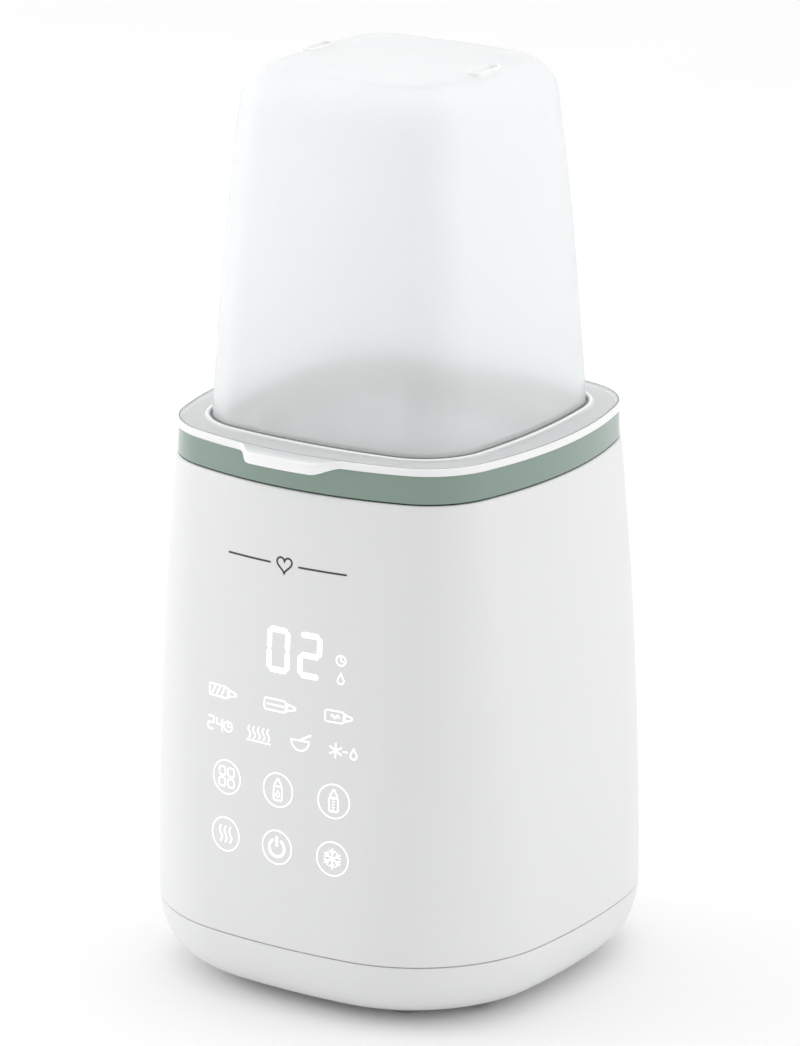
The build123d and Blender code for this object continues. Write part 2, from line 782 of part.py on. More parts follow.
with BuildPart() as lift_basket:
    with BuildSketch(Plane.XY.offset(z_basket_floor)):
        Circle(basket_radius)
    extrude(amount=z_basket_top - z_basket_floor)
    # rolled rim and two ears, which stand across the corners of the dome
    with BuildSketch(Plane.XY.offset(z_basket_top - basket_rim_height)):
        Circle(basket_radius + basket_rim_width)
    extrude(amount=basket_rim_height)
    fillet(lift_basket.edges().group_by(Axis.Z)[-1], basket_rim_round)
    with BuildSketch(Plane.XZ.rotated((0, 0, 45))):
        with Locations((0, z_basket_top + (ear_height - ear_corner) / 2)):
            RectangleRounded(ear_width, ear_height + ear_corner, ear_corner)
    extrude(amount=basket_radius, both=True)
    with BuildSketch(Plane.XY.offset(z_basket_floor + basket_floor)):
        Circle(basket_radius - basket_wall)
    extrude(amount=z_rim, mode=Mode.SUBTRACT)
    with BuildSketch(Plane.XZ.rotated((0, 0, 45))):
        with Locations((0, z_basket_top + ear_height - ear_hole_from_top - ear_hole_height / 2)):
            SlotOverall(ear_hole_width, ear_hole_height)
    extrude(amount=2 * basket_radius, both=True, mode=Mode.SUBTRACT)
    # water slots in the side and holes in the floor
    for place in PolarLocations(0, slot_count, start_angle=slot_turn):
        turned = Plane.XZ.rotated((0, 0, slot_turn + place.orientation.Z))
        slot_middle = (z_basket_floor + basket_floor + z_basket_top) / 2
        with BuildSketch(turned):
            with Locations((0, slot_middle)):
                SlotOverall(z_basket_top - z_basket_floor - 2 * slot_from_ends, slot_width, rotation=90)
        extrude(amount=2 * basket_radius, mode=Mode.SUBTRACT)
    with BuildSketch(Plane.XY.offset(z_basket_floor)):
        with GridLocations(drain_pitch, drain_pitch, 3, 3):
            Circle(drain_radius)
        with PolarLocations(basket_radius - drain_ring_inset, drain_ring_count,
                            start_angle=180 / drain_ring_count):
            Circle(drain_radius)
    extrude(amount=basket_floor, mode=Mode.SUBTRACT)
    # short legs
    with BuildSketch(Plane.XY.offset(z_basket)):
        with PolarLocations(basket_radius - leg_inset, leg_count):
            Circle(leg_radius)
    extrude(amount=basket_stand)
save(lift_basket, "lift_basket")

# ---------------------------------------------------------------- display set
key_places = [(column * key_pitch, row) for row in key_rows for column in (-1, 0, 1)]
legend_places = [(x, upper_legend_row) for x in upper_legends]
legend_places += [(x, lower_legend_row) for x in lower_legends]

with BuildPart() as display_board:
    with BuildSketch(display_plane):
        RectangleRounded(2 * display_half_width, 2 * display_half_height, board_corner)
        with Locations(*display_posts):
            Circle(screw_radius + hole_clearance, mode=Mode.SUBTRACT)
    extrude(amount=board_thickness)
save(display_board, "display_board")

with BuildPart() as light_frame:
    with BuildSketch(display_plane.offset(board_thickness)):
        RectangleRounded(2 * display_half_width, 2 * display_half_height, board_corner)
        with Locations(*display_posts):
            Circle(display_post_radius + slot_clearance, mode=Mode.SUBTRACT)
        with Locations(digit_centre):
            Rectangle(digit_size[0] + 2 * module_clearance, digit_size[1] + 2 * module_clearance,
                      mode=Mode.SUBTRACT)
        with Locations(*legend_places):
            Rectangle(*legend_cell, mode=Mode.SUBTRACT)
        with Locations(unit_place):
            Rectangle(*unit_cell, mode=Mode.SUBTRACT)
        with Locations(*key_places):
            Circle(key_well_radius, mode=Mode.SUBTRACT)
    extrude(amount=2 * display_depth)
    frame_in = shell_wall + wall_clearance
    loft(sections=[body_section(z, frame_in) for z in body_stations(z_seam, z_shell_top, 5)],
         mode=Mode.INTERSECT)
save(light_frame, "light_frame")

with BuildPart() as digit_module:
    with BuildSketch(display_plane.offset(board_thickness)):
        with Locations(digit_centre):
            Rectangle(digit_size[0], digit_size[1])
    extrude(amount=digit_size[2])
save(digit_module, "digit_module")

with BuildPart() as indicator_leds:
    with BuildSketch(display_plane.offset(board_thickness)):
        with Locations(*legend_places, unit_place):
            Rectangle(*legend_led)
        with Locations(*key_places):
            with Locations((0, key_led_rise)):
                Rectangle(*key_led)
    extrude(amount=led_height)
save(indicator_leds, "indicator_leds")

# Each touch spring is a coil that carries the key's field from the board to the wall
with BuildPart() as one_spring:
    with BuildLine() as coil:
        Helix(pitch=spring_pitch, height=spring_turns * spring_pitch, radius=spring_radius)
    with BuildSketch(Plane(origin=coil.line @ 0, z_dir=coil.line % 0)):
        Circle(spring_wire)
    sweep(path=coil.line, is_frenet=True)

spring_seat = board_thickness + spring_wire + spring_lift
with BuildPart() as touch_springs:
    for x, y in key_places:
        seat = display_plane.from_local_coords((x, y, spring_seat))
        add(one_spring.part.moved(Plane(origin=seat, x_dir=(1, 0, 0), z_dir=display_plane.z_dir).location))
save(touch_springs, "touch_springs")

with BuildPart() as display_screws:
    for x, y in display_posts:
        seat = display_plane.from_local_coords((x, y, 0))
        add(screw(Plane(origin=seat, x_dir=(1, 0, 0), z_dir=-display_plane.z_dir), display_screw_length))
save(display_screws, "display_screws")

# ---------------------------------------------------------------- main board and its components
with BuildPart() as main_board:
    with BuildSketch(Plane.XY.offset(z_board)):
        RectangleRounded(board_width, board_length, board_corner)
        with Locations(*standoff_places):
            Circle(screw_radius + hole_clearance, mode=Mode.SUBTRACT)
    extrude(amount=board_thickness)
save(main_board, "main_board")

with BuildPart() as board_screws:
    for x, y in standoff_places:
        add(screw(Plane(origin=(x, y, z_board + board_thickness)), screw_length))
save(board_screws, "board_screws")

z_parts = z_board + board_thickness


def block(name, place, size):
    """A rectangular component with a chamfered top."""
    with BuildPart() as component:
        with BuildSketch(Plane.XY.offset(z_parts)):
            with Locations(place):
                Rectangle(size[0], size[1])
        extrude(amount=size[2])
        chamfer(component.edges().group_by(Axis.Z)[-1], component_chamfer)
    save(component, name)


def can(name, place, radius, height):
    """A round component with a rounded top."""
    with BuildPart() as component:
        with BuildSketch(Plane.XY.offset(z_parts)):
            with Locations(place):
                Circle(radius)
        extrude(amount=height)
        fillet(component.edges().group_by(Axis.Z)[-1], component_chamfer)
    save(component, name)


block("relay", relay_place, relay_size)
block("transformer", transformer_place, transformer_size)
block("mains_connector", mains_connector_place, mains_connector_size)
block("lead_connector", lead_connector_place, lead_connector_size)
block("control_chip", chip_place, chip_size)
can("filter_capacitor", capacitor_place, capacitor_radius, capacitor_height)
can("buzzer", buzzer_place, buzzer_radius, buzzer_height)

# ---------------------------------------------------------------- leads and ribbon
def lead(points):
    """A wire whose straight runs are joined by tangent arcs."""
    with BuildPart() as wire:
        with BuildLine() as route:
            FilletPolyline(*points, radius=lead_bend)
        with BuildSketch(Plane(origin=route.line @ 0, z_dir=route.line % 0)):
            Circle(lead_radius)
        sweep(path=route.line)
    return wire.part


# the leads come down into the connector's top
lead_x = lead_connector_place[0]
lead_top = z_parts + lead_connector_size[2]
with BuildPart() as heater_leads:
    z_terminal = z_clamp - heater_height / 2
    for side, drop_y in ((-terminal_spread, near_lead_y), (terminal_spread, far_lead_y)):
        start = (-heater_length / 2 - terminal_size[2], side, z_terminal)
        low = z_clamp - lead_drop
        add(lead([start, (-lead_side, side, z_terminal), (-lead_turn, side, low), (lead_x, drop_y, low),
                  (lead_x, drop_y, lead_top)]))
save(heater_leads, "heater_leads")

with BuildPart() as sensor_leads:
    z_sensor = z_clamp - sensor_height
    start = (sensor_x, -sensor_y - sensor_radius, z_sensor)
    low = z_sensor - sensor_lead_drop
    add(lead([start, (start[0], start[1], low), (lead_x, sensor_lead_y, low),
              (lead_x, sensor_lead_y, lead_top)]))
save(sensor_leads, "sensor_leads")

with BuildPart() as display_ribbon:
    ribbon_top = display_plane.from_local_coords((0, ribbon_rise - display_half_height, 0))
    ribbon_out = ribbon_top.Y + ribbon_reach
    z_ribbon = z_parts + lead_connector_size[2]
    with BuildSketch(Plane.YZ):
        with BuildLine():
            ribbon_line = FilletPolyline(
                (ribbon_top.Y + ribbon_thickness, ribbon_top.Z),
                (ribbon_out, ribbon_top.Z),
                (ribbon_out, z_ribbon),
                (ribbon_y, z_ribbon),
                (ribbon_y, z_parts + ribbon_thickness),
                radius=ribbon_bend,
            )
            offset(ribbon_line, amount=ribbon_thickness / 2, side=Side.BOTH)
        make_face()
    extrude(amount=ribbon_width / 2, both=True)
save(display_ribbon, "display_ribbon")

# ---------------------------------------------------------------- base fasteners and feet
with BuildPart() as base_screws:
    z_head = z_seam - head_below_seam
    for x, y in post_spots:
        add(screw(Plane(origin=(x, y, z_head), x_dir=(1, 0, 0), z_dir=(0, 0, -1)), base_screw_length))
save(base_screws, "base_screws")

with BuildPart() as rubber_feet:
    with BuildSketch(Plane.XY):
        with Locations(*foot_places):
            Circle(foot_radius)
    extrude(amount=z_base + foot_recess)
    chamfer(rubber_feet.edges().group_by(Axis.Z)[0], foot_chamfer)
save(rubber_feet, "rubber_feet")

# ---------------------------------------------------------------- cord gland and clamp
with BuildPart() as cord_gland:
    with BuildSketch(gland_plane):
        Circle(gland_flange_radius)
    extrude(amount=gland_flange_thickness)
    fillet(cord_gland.edges().sort_by(Axis.Y)[-1], gland_round)
    with BuildSketch(gland_plane):
        Circle(gland_radius)
    extrude(amount=-gland_grip)
    with BuildSketch(gland_plane.offset(-gland_grip)):
        Circle(gland_flange_radius)
    extrude(amount=-gland_flange_thickness)
    with BuildSketch(gland_plane):
        Circle(cord_radius + cord_clearance)
    extrude(amount=3 * gland_grip, both=True, mode=Mode.SUBTRACT)
save(cord_gland, "cord_gland")

with BuildPart() as cord_clamp:
    with BuildSketch(Plane.XY.offset(z_gland + clamp_squeeze)):
        with Locations((0, clamp_y)):
            RectangleRounded(clamp_block_width, clamp_block_depth, clamp_bar_corner)
    extrude(amount=clamp_bar_height)
    with BuildSketch(Plane(origin=(0, clamp_y, z_gland), x_dir=(1, 0, 0), z_dir=(0, 1, 0))):
        Circle(cord_radius)
    extrude(amount=clamp_block_depth, both=True, mode=Mode.SUBTRACT)
    with BuildSketch(Plane.XY.offset(z_gland)):
        with Locations((-clamp_screw_x, clamp_y), (clamp_screw_x, clamp_y)):
            Circle(screw_radius + hole_clearance)
    extrude(amount=2 * clamp_bar_height, mode=Mode.SUBTRACT)
save(cord_clamp, "cord_clamp")

with BuildPart() as cord_clamp_screws:
    for x in (-clamp_screw_x, clamp_screw_x):
        add(screw(Plane(origin=(x, clamp_y, z_gland + clamp_squeeze + clamp_bar_height)),
                  clamp_bar_height + screw_length))
save(cord_clamp_screws, "cord_clamp_screws")
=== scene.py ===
# %% [markdown]
# A bottle warmer: a white body with a hidden display, a sage green ring, and a tall frosted lid.
#
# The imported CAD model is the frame. Its nodes give every height and width that is used here,
# so the pieces made in this lesson meet the CAD pieces without any fitting. Each visible skin
# is lofted as a mesh of even quads, because smooth light on a broad satin surface shows every
# uneven triangle. The inner parts stay CAD nodes and only get finishes.

# %% Load the frame
import bpy
import bmesh
from math import acos, asin, cos, pi, radians, sin, sqrt
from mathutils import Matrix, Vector


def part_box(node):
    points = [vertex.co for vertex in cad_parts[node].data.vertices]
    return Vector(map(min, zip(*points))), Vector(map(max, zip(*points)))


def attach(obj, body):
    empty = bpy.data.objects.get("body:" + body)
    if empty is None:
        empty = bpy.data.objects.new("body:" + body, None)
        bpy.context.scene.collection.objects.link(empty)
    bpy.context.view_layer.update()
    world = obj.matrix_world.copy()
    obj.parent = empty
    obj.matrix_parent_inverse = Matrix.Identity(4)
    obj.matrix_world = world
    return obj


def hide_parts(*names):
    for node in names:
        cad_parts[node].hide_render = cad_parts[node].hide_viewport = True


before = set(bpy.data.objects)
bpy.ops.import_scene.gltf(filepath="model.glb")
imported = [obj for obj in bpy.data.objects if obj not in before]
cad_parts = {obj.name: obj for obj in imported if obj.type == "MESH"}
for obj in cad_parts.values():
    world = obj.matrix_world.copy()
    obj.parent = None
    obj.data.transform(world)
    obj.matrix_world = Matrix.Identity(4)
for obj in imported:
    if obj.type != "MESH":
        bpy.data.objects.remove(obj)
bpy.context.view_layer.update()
MM = 0.001

# %% [markdown]
# The main heights and half widths are read from the boxes of the CAD nodes. What a box can't
# tell, such as how round a corner is, is a named value here.

# %% Sizes from the frame
shell_low, shell_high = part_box("outer_shell")
trim_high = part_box("trim_ring")[1]
lid_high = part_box("lid")[1]
base_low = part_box("base_cover")[0]

SHADOW_GAP = 0.4 * MM
COAMING_RISE = 3.0 * MM
FLANGE = 2.2 * MM
Z_SEAM = shell_low.z
Z_TOP = shell_high.z + SHADOW_GAP
Z_RIM = trim_high.z - COAMING_RISE
Z_FLANGE = Z_RIM + FLANGE
Z_DOME = lid_high.z
Z_BASE = base_low.z
TOP_HALF = trim_high.x
print("seam", round(Z_SEAM, 4), "top", round(Z_TOP, 4), "rim", round(Z_RIM, 4), "half", round(TOP_HALF, 4))

# %% [markdown]
# The camera looks at the front from the right and a little above, from far away through a long
# lens, so that the flanks stay nearly parallel. It comes first: every later choice is judged
# through it.

# %% Camera
CAMERA_SIDE = radians(33.46)
CAMERA_UP = radians(17.21)
CAMERA_FAR = 1.6263
AIM_BELOW_TOP = 25.2 * MM
FOCAL_MM = 190.7

camera_data = bpy.data.cameras.new("camera")
camera_data.lens = FOCAL_MM
camera_data.sensor_width = 36.0
camera = bpy.data.objects.new("camera", camera_data)
bpy.context.scene.collection.objects.link(camera)
towards = Vector((sin(CAMERA_SIDE) * cos(CAMERA_UP), -cos(CAMERA_SIDE) * cos(CAMERA_UP), sin(CAMERA_UP)))
camera.location = Vector((0, 0, Z_TOP - AIM_BELOW_TOP)) + CAMERA_FAR * towards
camera.rotation_euler = towards.to_track_quat("Z", "Y").to_euler()
bpy.context.scene.camera = camera
print("camera at", [round(c, 3) for c in camera.location])

# %% [markdown]
# A white product on white is lit from its two sides: the panels at the left and the right lift
# the flanks, and the corner that faces the viewer stays a little greyer, which is what shows
# the body's roundness. The world is white, with one greyer side in front, as a dark room behind
# the viewer would be. The floor is a pale matt sheet.

# %% Lights, world and floor
def softbox(name, place, size, power, aim=(0, 0, 0.12)):
    """A square area light that faces a point."""
    data = bpy.data.lights.new(name, "AREA")
    data.shape = "SQUARE"
    data.size = size
    data.energy = power
    light = bpy.data.objects.new(name, data)
    light.location = place
    light.rotation_euler = (Vector(place) - Vector(aim)).to_track_quat("Z", "Y").to_euler()
    bpy.context.scene.collection.objects.link(light)
    return light


softbox("left_light", (-1.5, -0.6, 0.6), 1.0, 7)
softbox("right_light", (1.5, 0.5, 0.6), 1.0, 2.5)
softbox("top_light", (0.1, 0.2, 1.8), 1.2, 3)
DARK_SIDE, DARK_RISE = radians(20), 0.1
DARK_FROM, DARK_FULL = 0.1, 0.95
WORLD_WHITE, WORLD_GREY = 1.03, 0.6

world = bpy.data.worlds.new("studio")
bpy.context.scene.world = world
world.use_nodes = True
tree = world.node_tree
direction = tree.nodes.new("ShaderNodeTexCoord")
ahead = tree.nodes.new("ShaderNodeVectorMath")
ahead.operation = "DOT_PRODUCT"
ahead.inputs[1].default_value = (sin(DARK_SIDE), -cos(DARK_SIDE), DARK_RISE)
tree.links.new(direction.outputs["Generated"], ahead.inputs[0])
strength = tree.nodes.new("ShaderNodeMapRange")
strength.interpolation_type = "SMOOTHSTEP"
for socket, value in (("From Min", DARK_FROM), ("From Max", DARK_FULL),
                      ("To Min", WORLD_WHITE), ("To Max", WORLD_GREY)):
    strength.inputs[socket].default_value = value
tree.links.new(ahead.outputs["Value"], strength.inputs["Value"])
tree.links.new(strength.outputs["Result"], tree.nodes["Background"].inputs["Strength"])
tree.nodes["Background"].inputs["Color"].default_value = (1, 1, 1, 1)
bpy.context.scene.view_settings.view_transform = "Standard"

floor_mesh = bpy.data.meshes.new("floor")
FLOOR_HALF = 12.0
floor_mesh.from_pydata([(-FLOOR_HALF, -FLOOR_HALF, 0), (FLOOR_HALF, -FLOOR_HALF, 0),
                        (FLOOR_HALF, FLOOR_HALF, 0), (-FLOOR_HALF, FLOOR_HALF, 0)], [], [(0, 1, 2, 3)])
floor = bpy.data.objects.new("floor", floor_mesh)
bpy.context.scene.collection.objects.link(floor)
print("three lights, a world from", WORLD_WHITE, "to", WORLD_GREY, "and a floor", 2 * FLOOR_HALF, "m wide")

# %% [markdown]
# Every finish is built from shader nodes. Moulded plastic is never one flat value: the mould
# leaves a fine spark texture, and the surface polishes a little unevenly. So each plastic gets
# a faint change of colour, a fine roughness noise and a very small bump, all in object space
# so that they have a real size and need no unwrapping.

# %% A moulded plastic finish
def new_material(name):
    """An empty node material with its Principled shader and output."""
    material = bpy.data.materials.new(name)
    material.use_nodes = True
    shader = material.node_tree.nodes["Principled BSDF"]
    return material, material.node_tree, shader


def noise(tree, per_metre, detail=2.0, distortion=0.0):
    """Noise in object space: per_metre is how many features fit in a metre."""
    nodes = tree.nodes
    place = nodes.new("ShaderNodeTexCoord")
    texture = nodes.new("ShaderNodeTexNoise")
    texture.inputs["Scale"].default_value = per_metre
    texture.inputs["Detail"].default_value = detail
    texture.inputs["Distortion"].default_value = distortion
    tree.links.new(place.outputs["Object"], texture.inputs["Vector"])
    return texture.outputs["Fac"]


def between(tree, factor, low, high, from_low=0.3, from_high=0.7):
    """Maps a noise to the range low to high."""
    remap = tree.nodes.new("ShaderNodeMapRange")
    remap.inputs["From Min"].default_value = from_low
    remap.inputs["From Max"].default_value = from_high
    remap.inputs["To Min"].default_value = low
    remap.inputs["To Max"].default_value = high
    tree.links.new(factor, remap.inputs["Value"])
    return remap.outputs["Result"]


def two_tone(tree, factor, first, second):
    """Blends two colours by a noise."""
    mix = tree.nodes.new("ShaderNodeMix")
    mix.data_type = "RGBA"
    mix.inputs[6].default_value = (*first, 1)
    mix.inputs[7].default_value = (*second, 1)
    tree.links.new(factor, mix.inputs[0])
    return mix.outputs[2]


def bump(tree, height, strength, distance, before=None):
    """A bump node of a real depth in metres."""
    node = tree.nodes.new("ShaderNodeBump")
    node.inputs["Strength"].default_value = strength
    node.inputs["Distance"].default_value = distance
    tree.links.new(height, node.inputs["Height"])
    if before is not None:
        tree.links.new(before, node.inputs["Normal"])
    return node.outputs["Normal"]


def moulded(name, colour, roughness, grain_mm=0.35, grain_depth=0.02, tone=0.012, coat=0.0, glow=0.0,
            uneven=0.04, coat_roughness=0.25):
    """Injection-moulded plastic: spark texture, faint tone change, slightly uneven polish."""
    material, tree, shader = new_material(name)
    broad = noise(tree, 9, 3)
    fine = noise(tree, 1000 / grain_mm, 2)
    darker = tuple(max(0.0, channel - tone) for channel in colour)
    lighter = tuple(min(1.0, channel + tone) for channel in colour)
    tree.links.new(two_tone(tree, broad, darker, lighter), shader.inputs["Base Color"])
    tree.links.new(between(tree, noise(tree, 60, 4), roughness - uneven, roughness + uneven),
                   shader.inputs["Roughness"])
    tree.links.new(bump(tree, fine, 0.5, grain_depth * MM), shader.inputs["Normal"])
    shader.inputs["Coat Weight"].default_value = coat
    shader.inputs["Coat Roughness"].default_value = coat_roughness
    shader.inputs["Specular IOR Level"].default_value = 0.45
    shader.inputs["Subsurface Weight"].default_value = glow
    shader.inputs["Subsurface Radius"].default_value = (0.004, 0.004, 0.004)
    return material


floor.data.materials.append(moulded("floor_paper", (0.96, 0.96, 0.96), 0.9, 2.0, 0.02))
body_white = moulded("body_white", (0.785, 0.79, 0.79), 0.36, 0.4, 0.015)
base_white = moulded("base_white", (0.785, 0.79, 0.79), 0.38, 0.4, 0.015)
sage = moulded("sage_green", (0.2, 0.285, 0.235), 0.3, 0.3, 0.004, tone=0.006, coat=0.8, uneven=0.015,
               coat_roughness=0.12)
basket_white = moulded("basket_white", (0.86, 0.865, 0.86), 0.4, 0.5, 0.02, glow=0.05)
well_white = moulded("well_white", (0.74, 0.76, 0.75), 0.42, 0.5, 0.02)
print("plastics ready")

# %% [markdown]
# The lid is frosted polypropylene. Such a plastic does two things at once: part of the light
# goes through and is scattered by the rough surface, and part comes back from the milky bulk.
# A Principled shader with a rough transmission gives the first and its own base the second.
# The flange is thicker, so the same plastic looks milkier there. Its outer edges, the bead's crest
# and the vent lips pass even less light, as thick plastic does, and are pure white as a painted
# highlight. The fine grooves carry painted shade, a dark grey. Each of the three gets its own finish.
# Lamps have to reach the inside through it, so shadow rays pass a clear shader instead.

# %% Frosted lid finish
def frosted(name, tint, roughness, through, lamp_share):
    """Rough, milky plastic that lets lamps through."""
    material, tree, shader = new_material(name)
    shader.inputs["Base Color"].default_value = (*tint, 1)
    shader.inputs["Transmission Weight"].default_value = through
    shader.inputs["IOR"].default_value = 1.15
    shader.inputs["Specular IOR Level"].default_value = 0.5
    tree.links.new(between(tree, noise(tree, 40, 3), roughness - 0.03, roughness + 0.03),
                   shader.inputs["Roughness"])
    tree.links.new(bump(tree, noise(tree, 1500, 2), 0.5, 0.015 * MM), shader.inputs["Normal"])
    clear = tree.nodes.new("ShaderNodeBsdfTransparent")
    clear.inputs["Color"].default_value = (lamp_share, lamp_share, lamp_share, 1)
    path = tree.nodes.new("ShaderNodeLightPath")
    mix = tree.nodes.new("ShaderNodeMixShader")
    tree.links.new(path.outputs["Is Shadow Ray"], mix.inputs["Fac"])
    tree.links.new(shader.outputs["BSDF"], mix.inputs[1])
    tree.links.new(clear.outputs["BSDF"], mix.inputs[2])
    tree.links.new(mix.outputs["Shader"], tree.nodes["Material Output"].inputs["Surface"])
    return material


lid_frost = frosted("lid_frost", (0.965, 0.975, 0.98), 0.34, 0.6, 0.75)
lid_flange = frosted("lid_flange", (0.95, 0.965, 0.97), 0.34, 0.34, 0.85)
# Partly real and partly painted highlight: the thick edges pass little light, and their pure white tint
# paints the bright highlight lines along them.
lid_milky_edge_and_painted_highlight = frosted("lid_milky_edge_and_painted_highlight", (1.0, 1.0, 1.0), 0.3, 0.1, 0.85)
# Painted shade: a dark grey that stands in for the shade gathering in the fine grooves at the dome's foot
# and along the rim.
lid_painted_groove_shade = frosted("lid_painted_groove_shade", (0.4, 0.41, 0.42), 0.34, 0.15, 0.85)
print("lid finish ready")

# %% [markdown]
# The body is a square with bowed sides and round corners. Its outline is four shallow arcs
# joined by four tangent corner arcs. The same outline, at changing sizes, makes the shell, the
# base, the ring and the lid, so it is one function. Points are spread so that the corners get
# as many as the sides, and every ring has the same count, which keeps the lofted quads even.

# %% The outline and the loft
SIDE_STEPS = 56
CORNER_STEPS = 24


def outline(half, side_radius, corner_radius):
    """Points around a square of shallow side arcs and tangent corner arcs, from the front's middle."""
    turn = acos((side_radius - half) / (side_radius - corner_radius) / sqrt(2)) - pi / 4
    centre = (side_radius - corner_radius) * sin(turn)
    quarter = []
    for step in range(SIDE_STEPS):
        angle = -turn + 2 * turn * step / SIDE_STEPS
        quarter.append((side_radius * sin(angle), side_radius - half - side_radius * cos(angle)))
    for step in range(CORNER_STEPS):
        angle = turn + (pi / 2 - 2 * turn) * step / CORNER_STEPS
        quarter.append((centre + corner_radius * sin(angle), -centre - corner_radius * cos(angle)))
    points = []
    for quarters in range(4):
        c, s = round(cos(quarters * pi / 2)), round(sin(quarters * pi / 2))
        points += [(x * c - y * s, x * s + y * c) for x, y in quarter]
    return points


def ring(height, half, side_radius, corner_radius):
    return [(x, y, height) for x, y in outline(half, side_radius, corner_radius)]


def loft_mesh(name, rings, closed=False, cap_first=False, cap_last=False):
    """A mesh of quads through rings of equal count. closed joins the last ring to the first."""
    count = len(rings[0])
    vertices = [point for each in rings for point in each]
    faces = []
    spans = len(rings) if closed else len(rings) - 1
    for level in range(spans):
        low, high = level * count, ((level + 1) % len(rings)) * count
        for step in range(count):
            after = (step + 1) % count
            faces.append((low + step, low + after, high + after, high + step))
    for wanted, level in ((cap_first, 0), (cap_last, len(rings) - 1)):
        if wanted:
            middle = Vector((0, 0, sum(p[2] for p in rings[level]) / count))
            vertices.append(tuple(middle))
            start = level * count
            for step in range(count):
                pair = (start + step, start + (step + 1) % count)
                faces.append((*pair, len(vertices) - 1))
    mesh = bpy.data.meshes.new(name)
    mesh.from_pydata(vertices, [], faces)
    work = bmesh.new()
    work.from_mesh(mesh)
    bmesh.ops.recalc_face_normals(work, faces=work.faces)
    work.to_mesh(mesh)
    work.free()
    piece = bpy.data.objects.new(name, mesh)
    bpy.context.scene.collection.objects.link(piece)
    return piece


def smooth(piece, angle=35):
    """Smooth shading that keeps edges sharper than the angle."""
    piece.data.shade_smooth()
    piece.data.set_sharp_from_angle(angle=radians(angle))
    return piece


def finish_piece(piece, material, body, slot_name, *nodes):
    """Gives a piece its finish, its body and the CAD nodes that it stands for; slot_name is not used."""
    if not piece.data.materials:
        piece.data.materials.append(material)
    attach(piece, body)
    if nodes:
        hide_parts(*nodes)
    print(piece.name, "faces", len(piece.data.polygons), "stands for", nodes)
    return piece


print("points in a ring", 4 * (SIDE_STEPS + CORNER_STEPS))

# %% [markdown]
# The white body flares from its top to the parting seam with a slight bulge, and below the
# seam a large rounding sweeps it under. One rule gives the half width at any height, and shell
# and base cover both follow it, so the seam between them is only a fine dark line.

# %% How wide the body is at each height
BODY_FLARE = 7.55 * MM
BODY_BULGE = 0.9 * MM
TOP_SIDE, TOP_CORNER = 126 * MM, 24.7 * MM
SEAM_SIDE, SEAM_CORNER = 206 * MM, 45.6 * MM
BOTTOM_CORNER = 27.8 * MM
ROUND_INSET = 23.5 * MM
ROUND_ABOVE_SEAM = 5.7 * MM
ROUND_POWER = 2.9
ROUND_HEIGHT = Z_SEAM - Z_BASE + ROUND_ABOVE_SEAM


def tucked(height):
    """How far the rounded bottom edge has pulled the side in."""
    fall = min(1.0, max(0.0, (Z_SEAM + ROUND_ABOVE_SEAM - height) / ROUND_HEIGHT))
    return ROUND_INSET * (1 - (1 - fall**ROUND_POWER) ** (1 / ROUND_POWER))


def body_half(height):
    down = (Z_TOP - height) / (Z_TOP - Z_SEAM)
    return TOP_HALF + BODY_FLARE * down + 4 * BODY_BULGE * down * (1 - down) - tucked(height)


def body_side(height):
    down = (Z_TOP - height) / (Z_TOP - Z_SEAM)
    return TOP_SIDE + (SEAM_SIDE - TOP_SIDE) * down - tucked(height)


def body_ring(height, inset=0.0, lift=0.0):
    """The body's outline at a height, pulled in by inset and moved up by lift."""
    down = (Z_TOP - height) / (Z_TOP - Z_SEAM)
    corner = TOP_CORNER + (SEAM_CORNER - TOP_CORNER) * down
    corner -= (SEAM_CORNER - BOTTOM_CORNER) * tucked(height) / ROUND_INSET
    return ring(height + lift, body_half(height) - inset, body_side(height) - inset, corner - inset)


def spread(low, high, count):
    return [low + (high - low) * step / (count - 1) for step in range(count)]


print("half width at top, middle, seam:", [round(body_half(z), 4) for z in (Z_TOP, 0.09, Z_SEAM)])

# %% [markdown]
# The shell is a wall of real thickness. Its edges are softly rounded, as a mould leaves them, and
# the lower one meets the base cover's edge with a hairline gap. That gap is what draws the seam. The back
# has a round seat for the cord gland, cut with a boolean from the finished wall.

# %% Outer shell
WALL = 2.5 * MM
EDGE = 0.35 * MM
TOP_EDGE = 0.8 * MM
SEAM_GAP = 0.25 * MM
GLAND_GAP = 0.3 * MM
GLAND_SEAT_DEPTH = 9 * MM
BEHIND_BACK = 80 * MM


def edge_turn(height, direction, inset_from, radius=EDGE, steps=4):
    """Rings that round a wall's edge: direction is +1 for an upper edge and -1 for a lower one."""
    rings = []
    for step in range(steps + 1):
        angle = pi / 2 * step / steps
        inset = inset_from + radius * (1 - cos(angle))
        rings.append(body_ring(height, inset, direction * radius * (sin(angle) - 1)))
    return rings


z_shell_top = Z_TOP - SHADOW_GAP
z_shell_low = Z_SEAM + SEAM_GAP / 2
shell_rings = edge_turn(z_shell_low, -1, 0)[::-1]
shell_rings += [body_ring(z) for z in spread(z_shell_low + 2 * EDGE, z_shell_top - 2 * TOP_EDGE, 44)]
shell_rings += edge_turn(z_shell_top, 1, 0, TOP_EDGE, 6)
shell_rings += [body_ring(z, WALL) for z in spread(z_shell_top - EDGE, z_shell_low + EDGE, 14)]
shell = smooth(loft_mesh("outer_shell_skin", shell_rings, closed=True), 50)

gland_low, gland_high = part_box("cord_gland")
gland_middle = (gland_low + gland_high) / 2
gland_seat_radius = (gland_high.x - gland_low.x) / 2 + GLAND_GAP


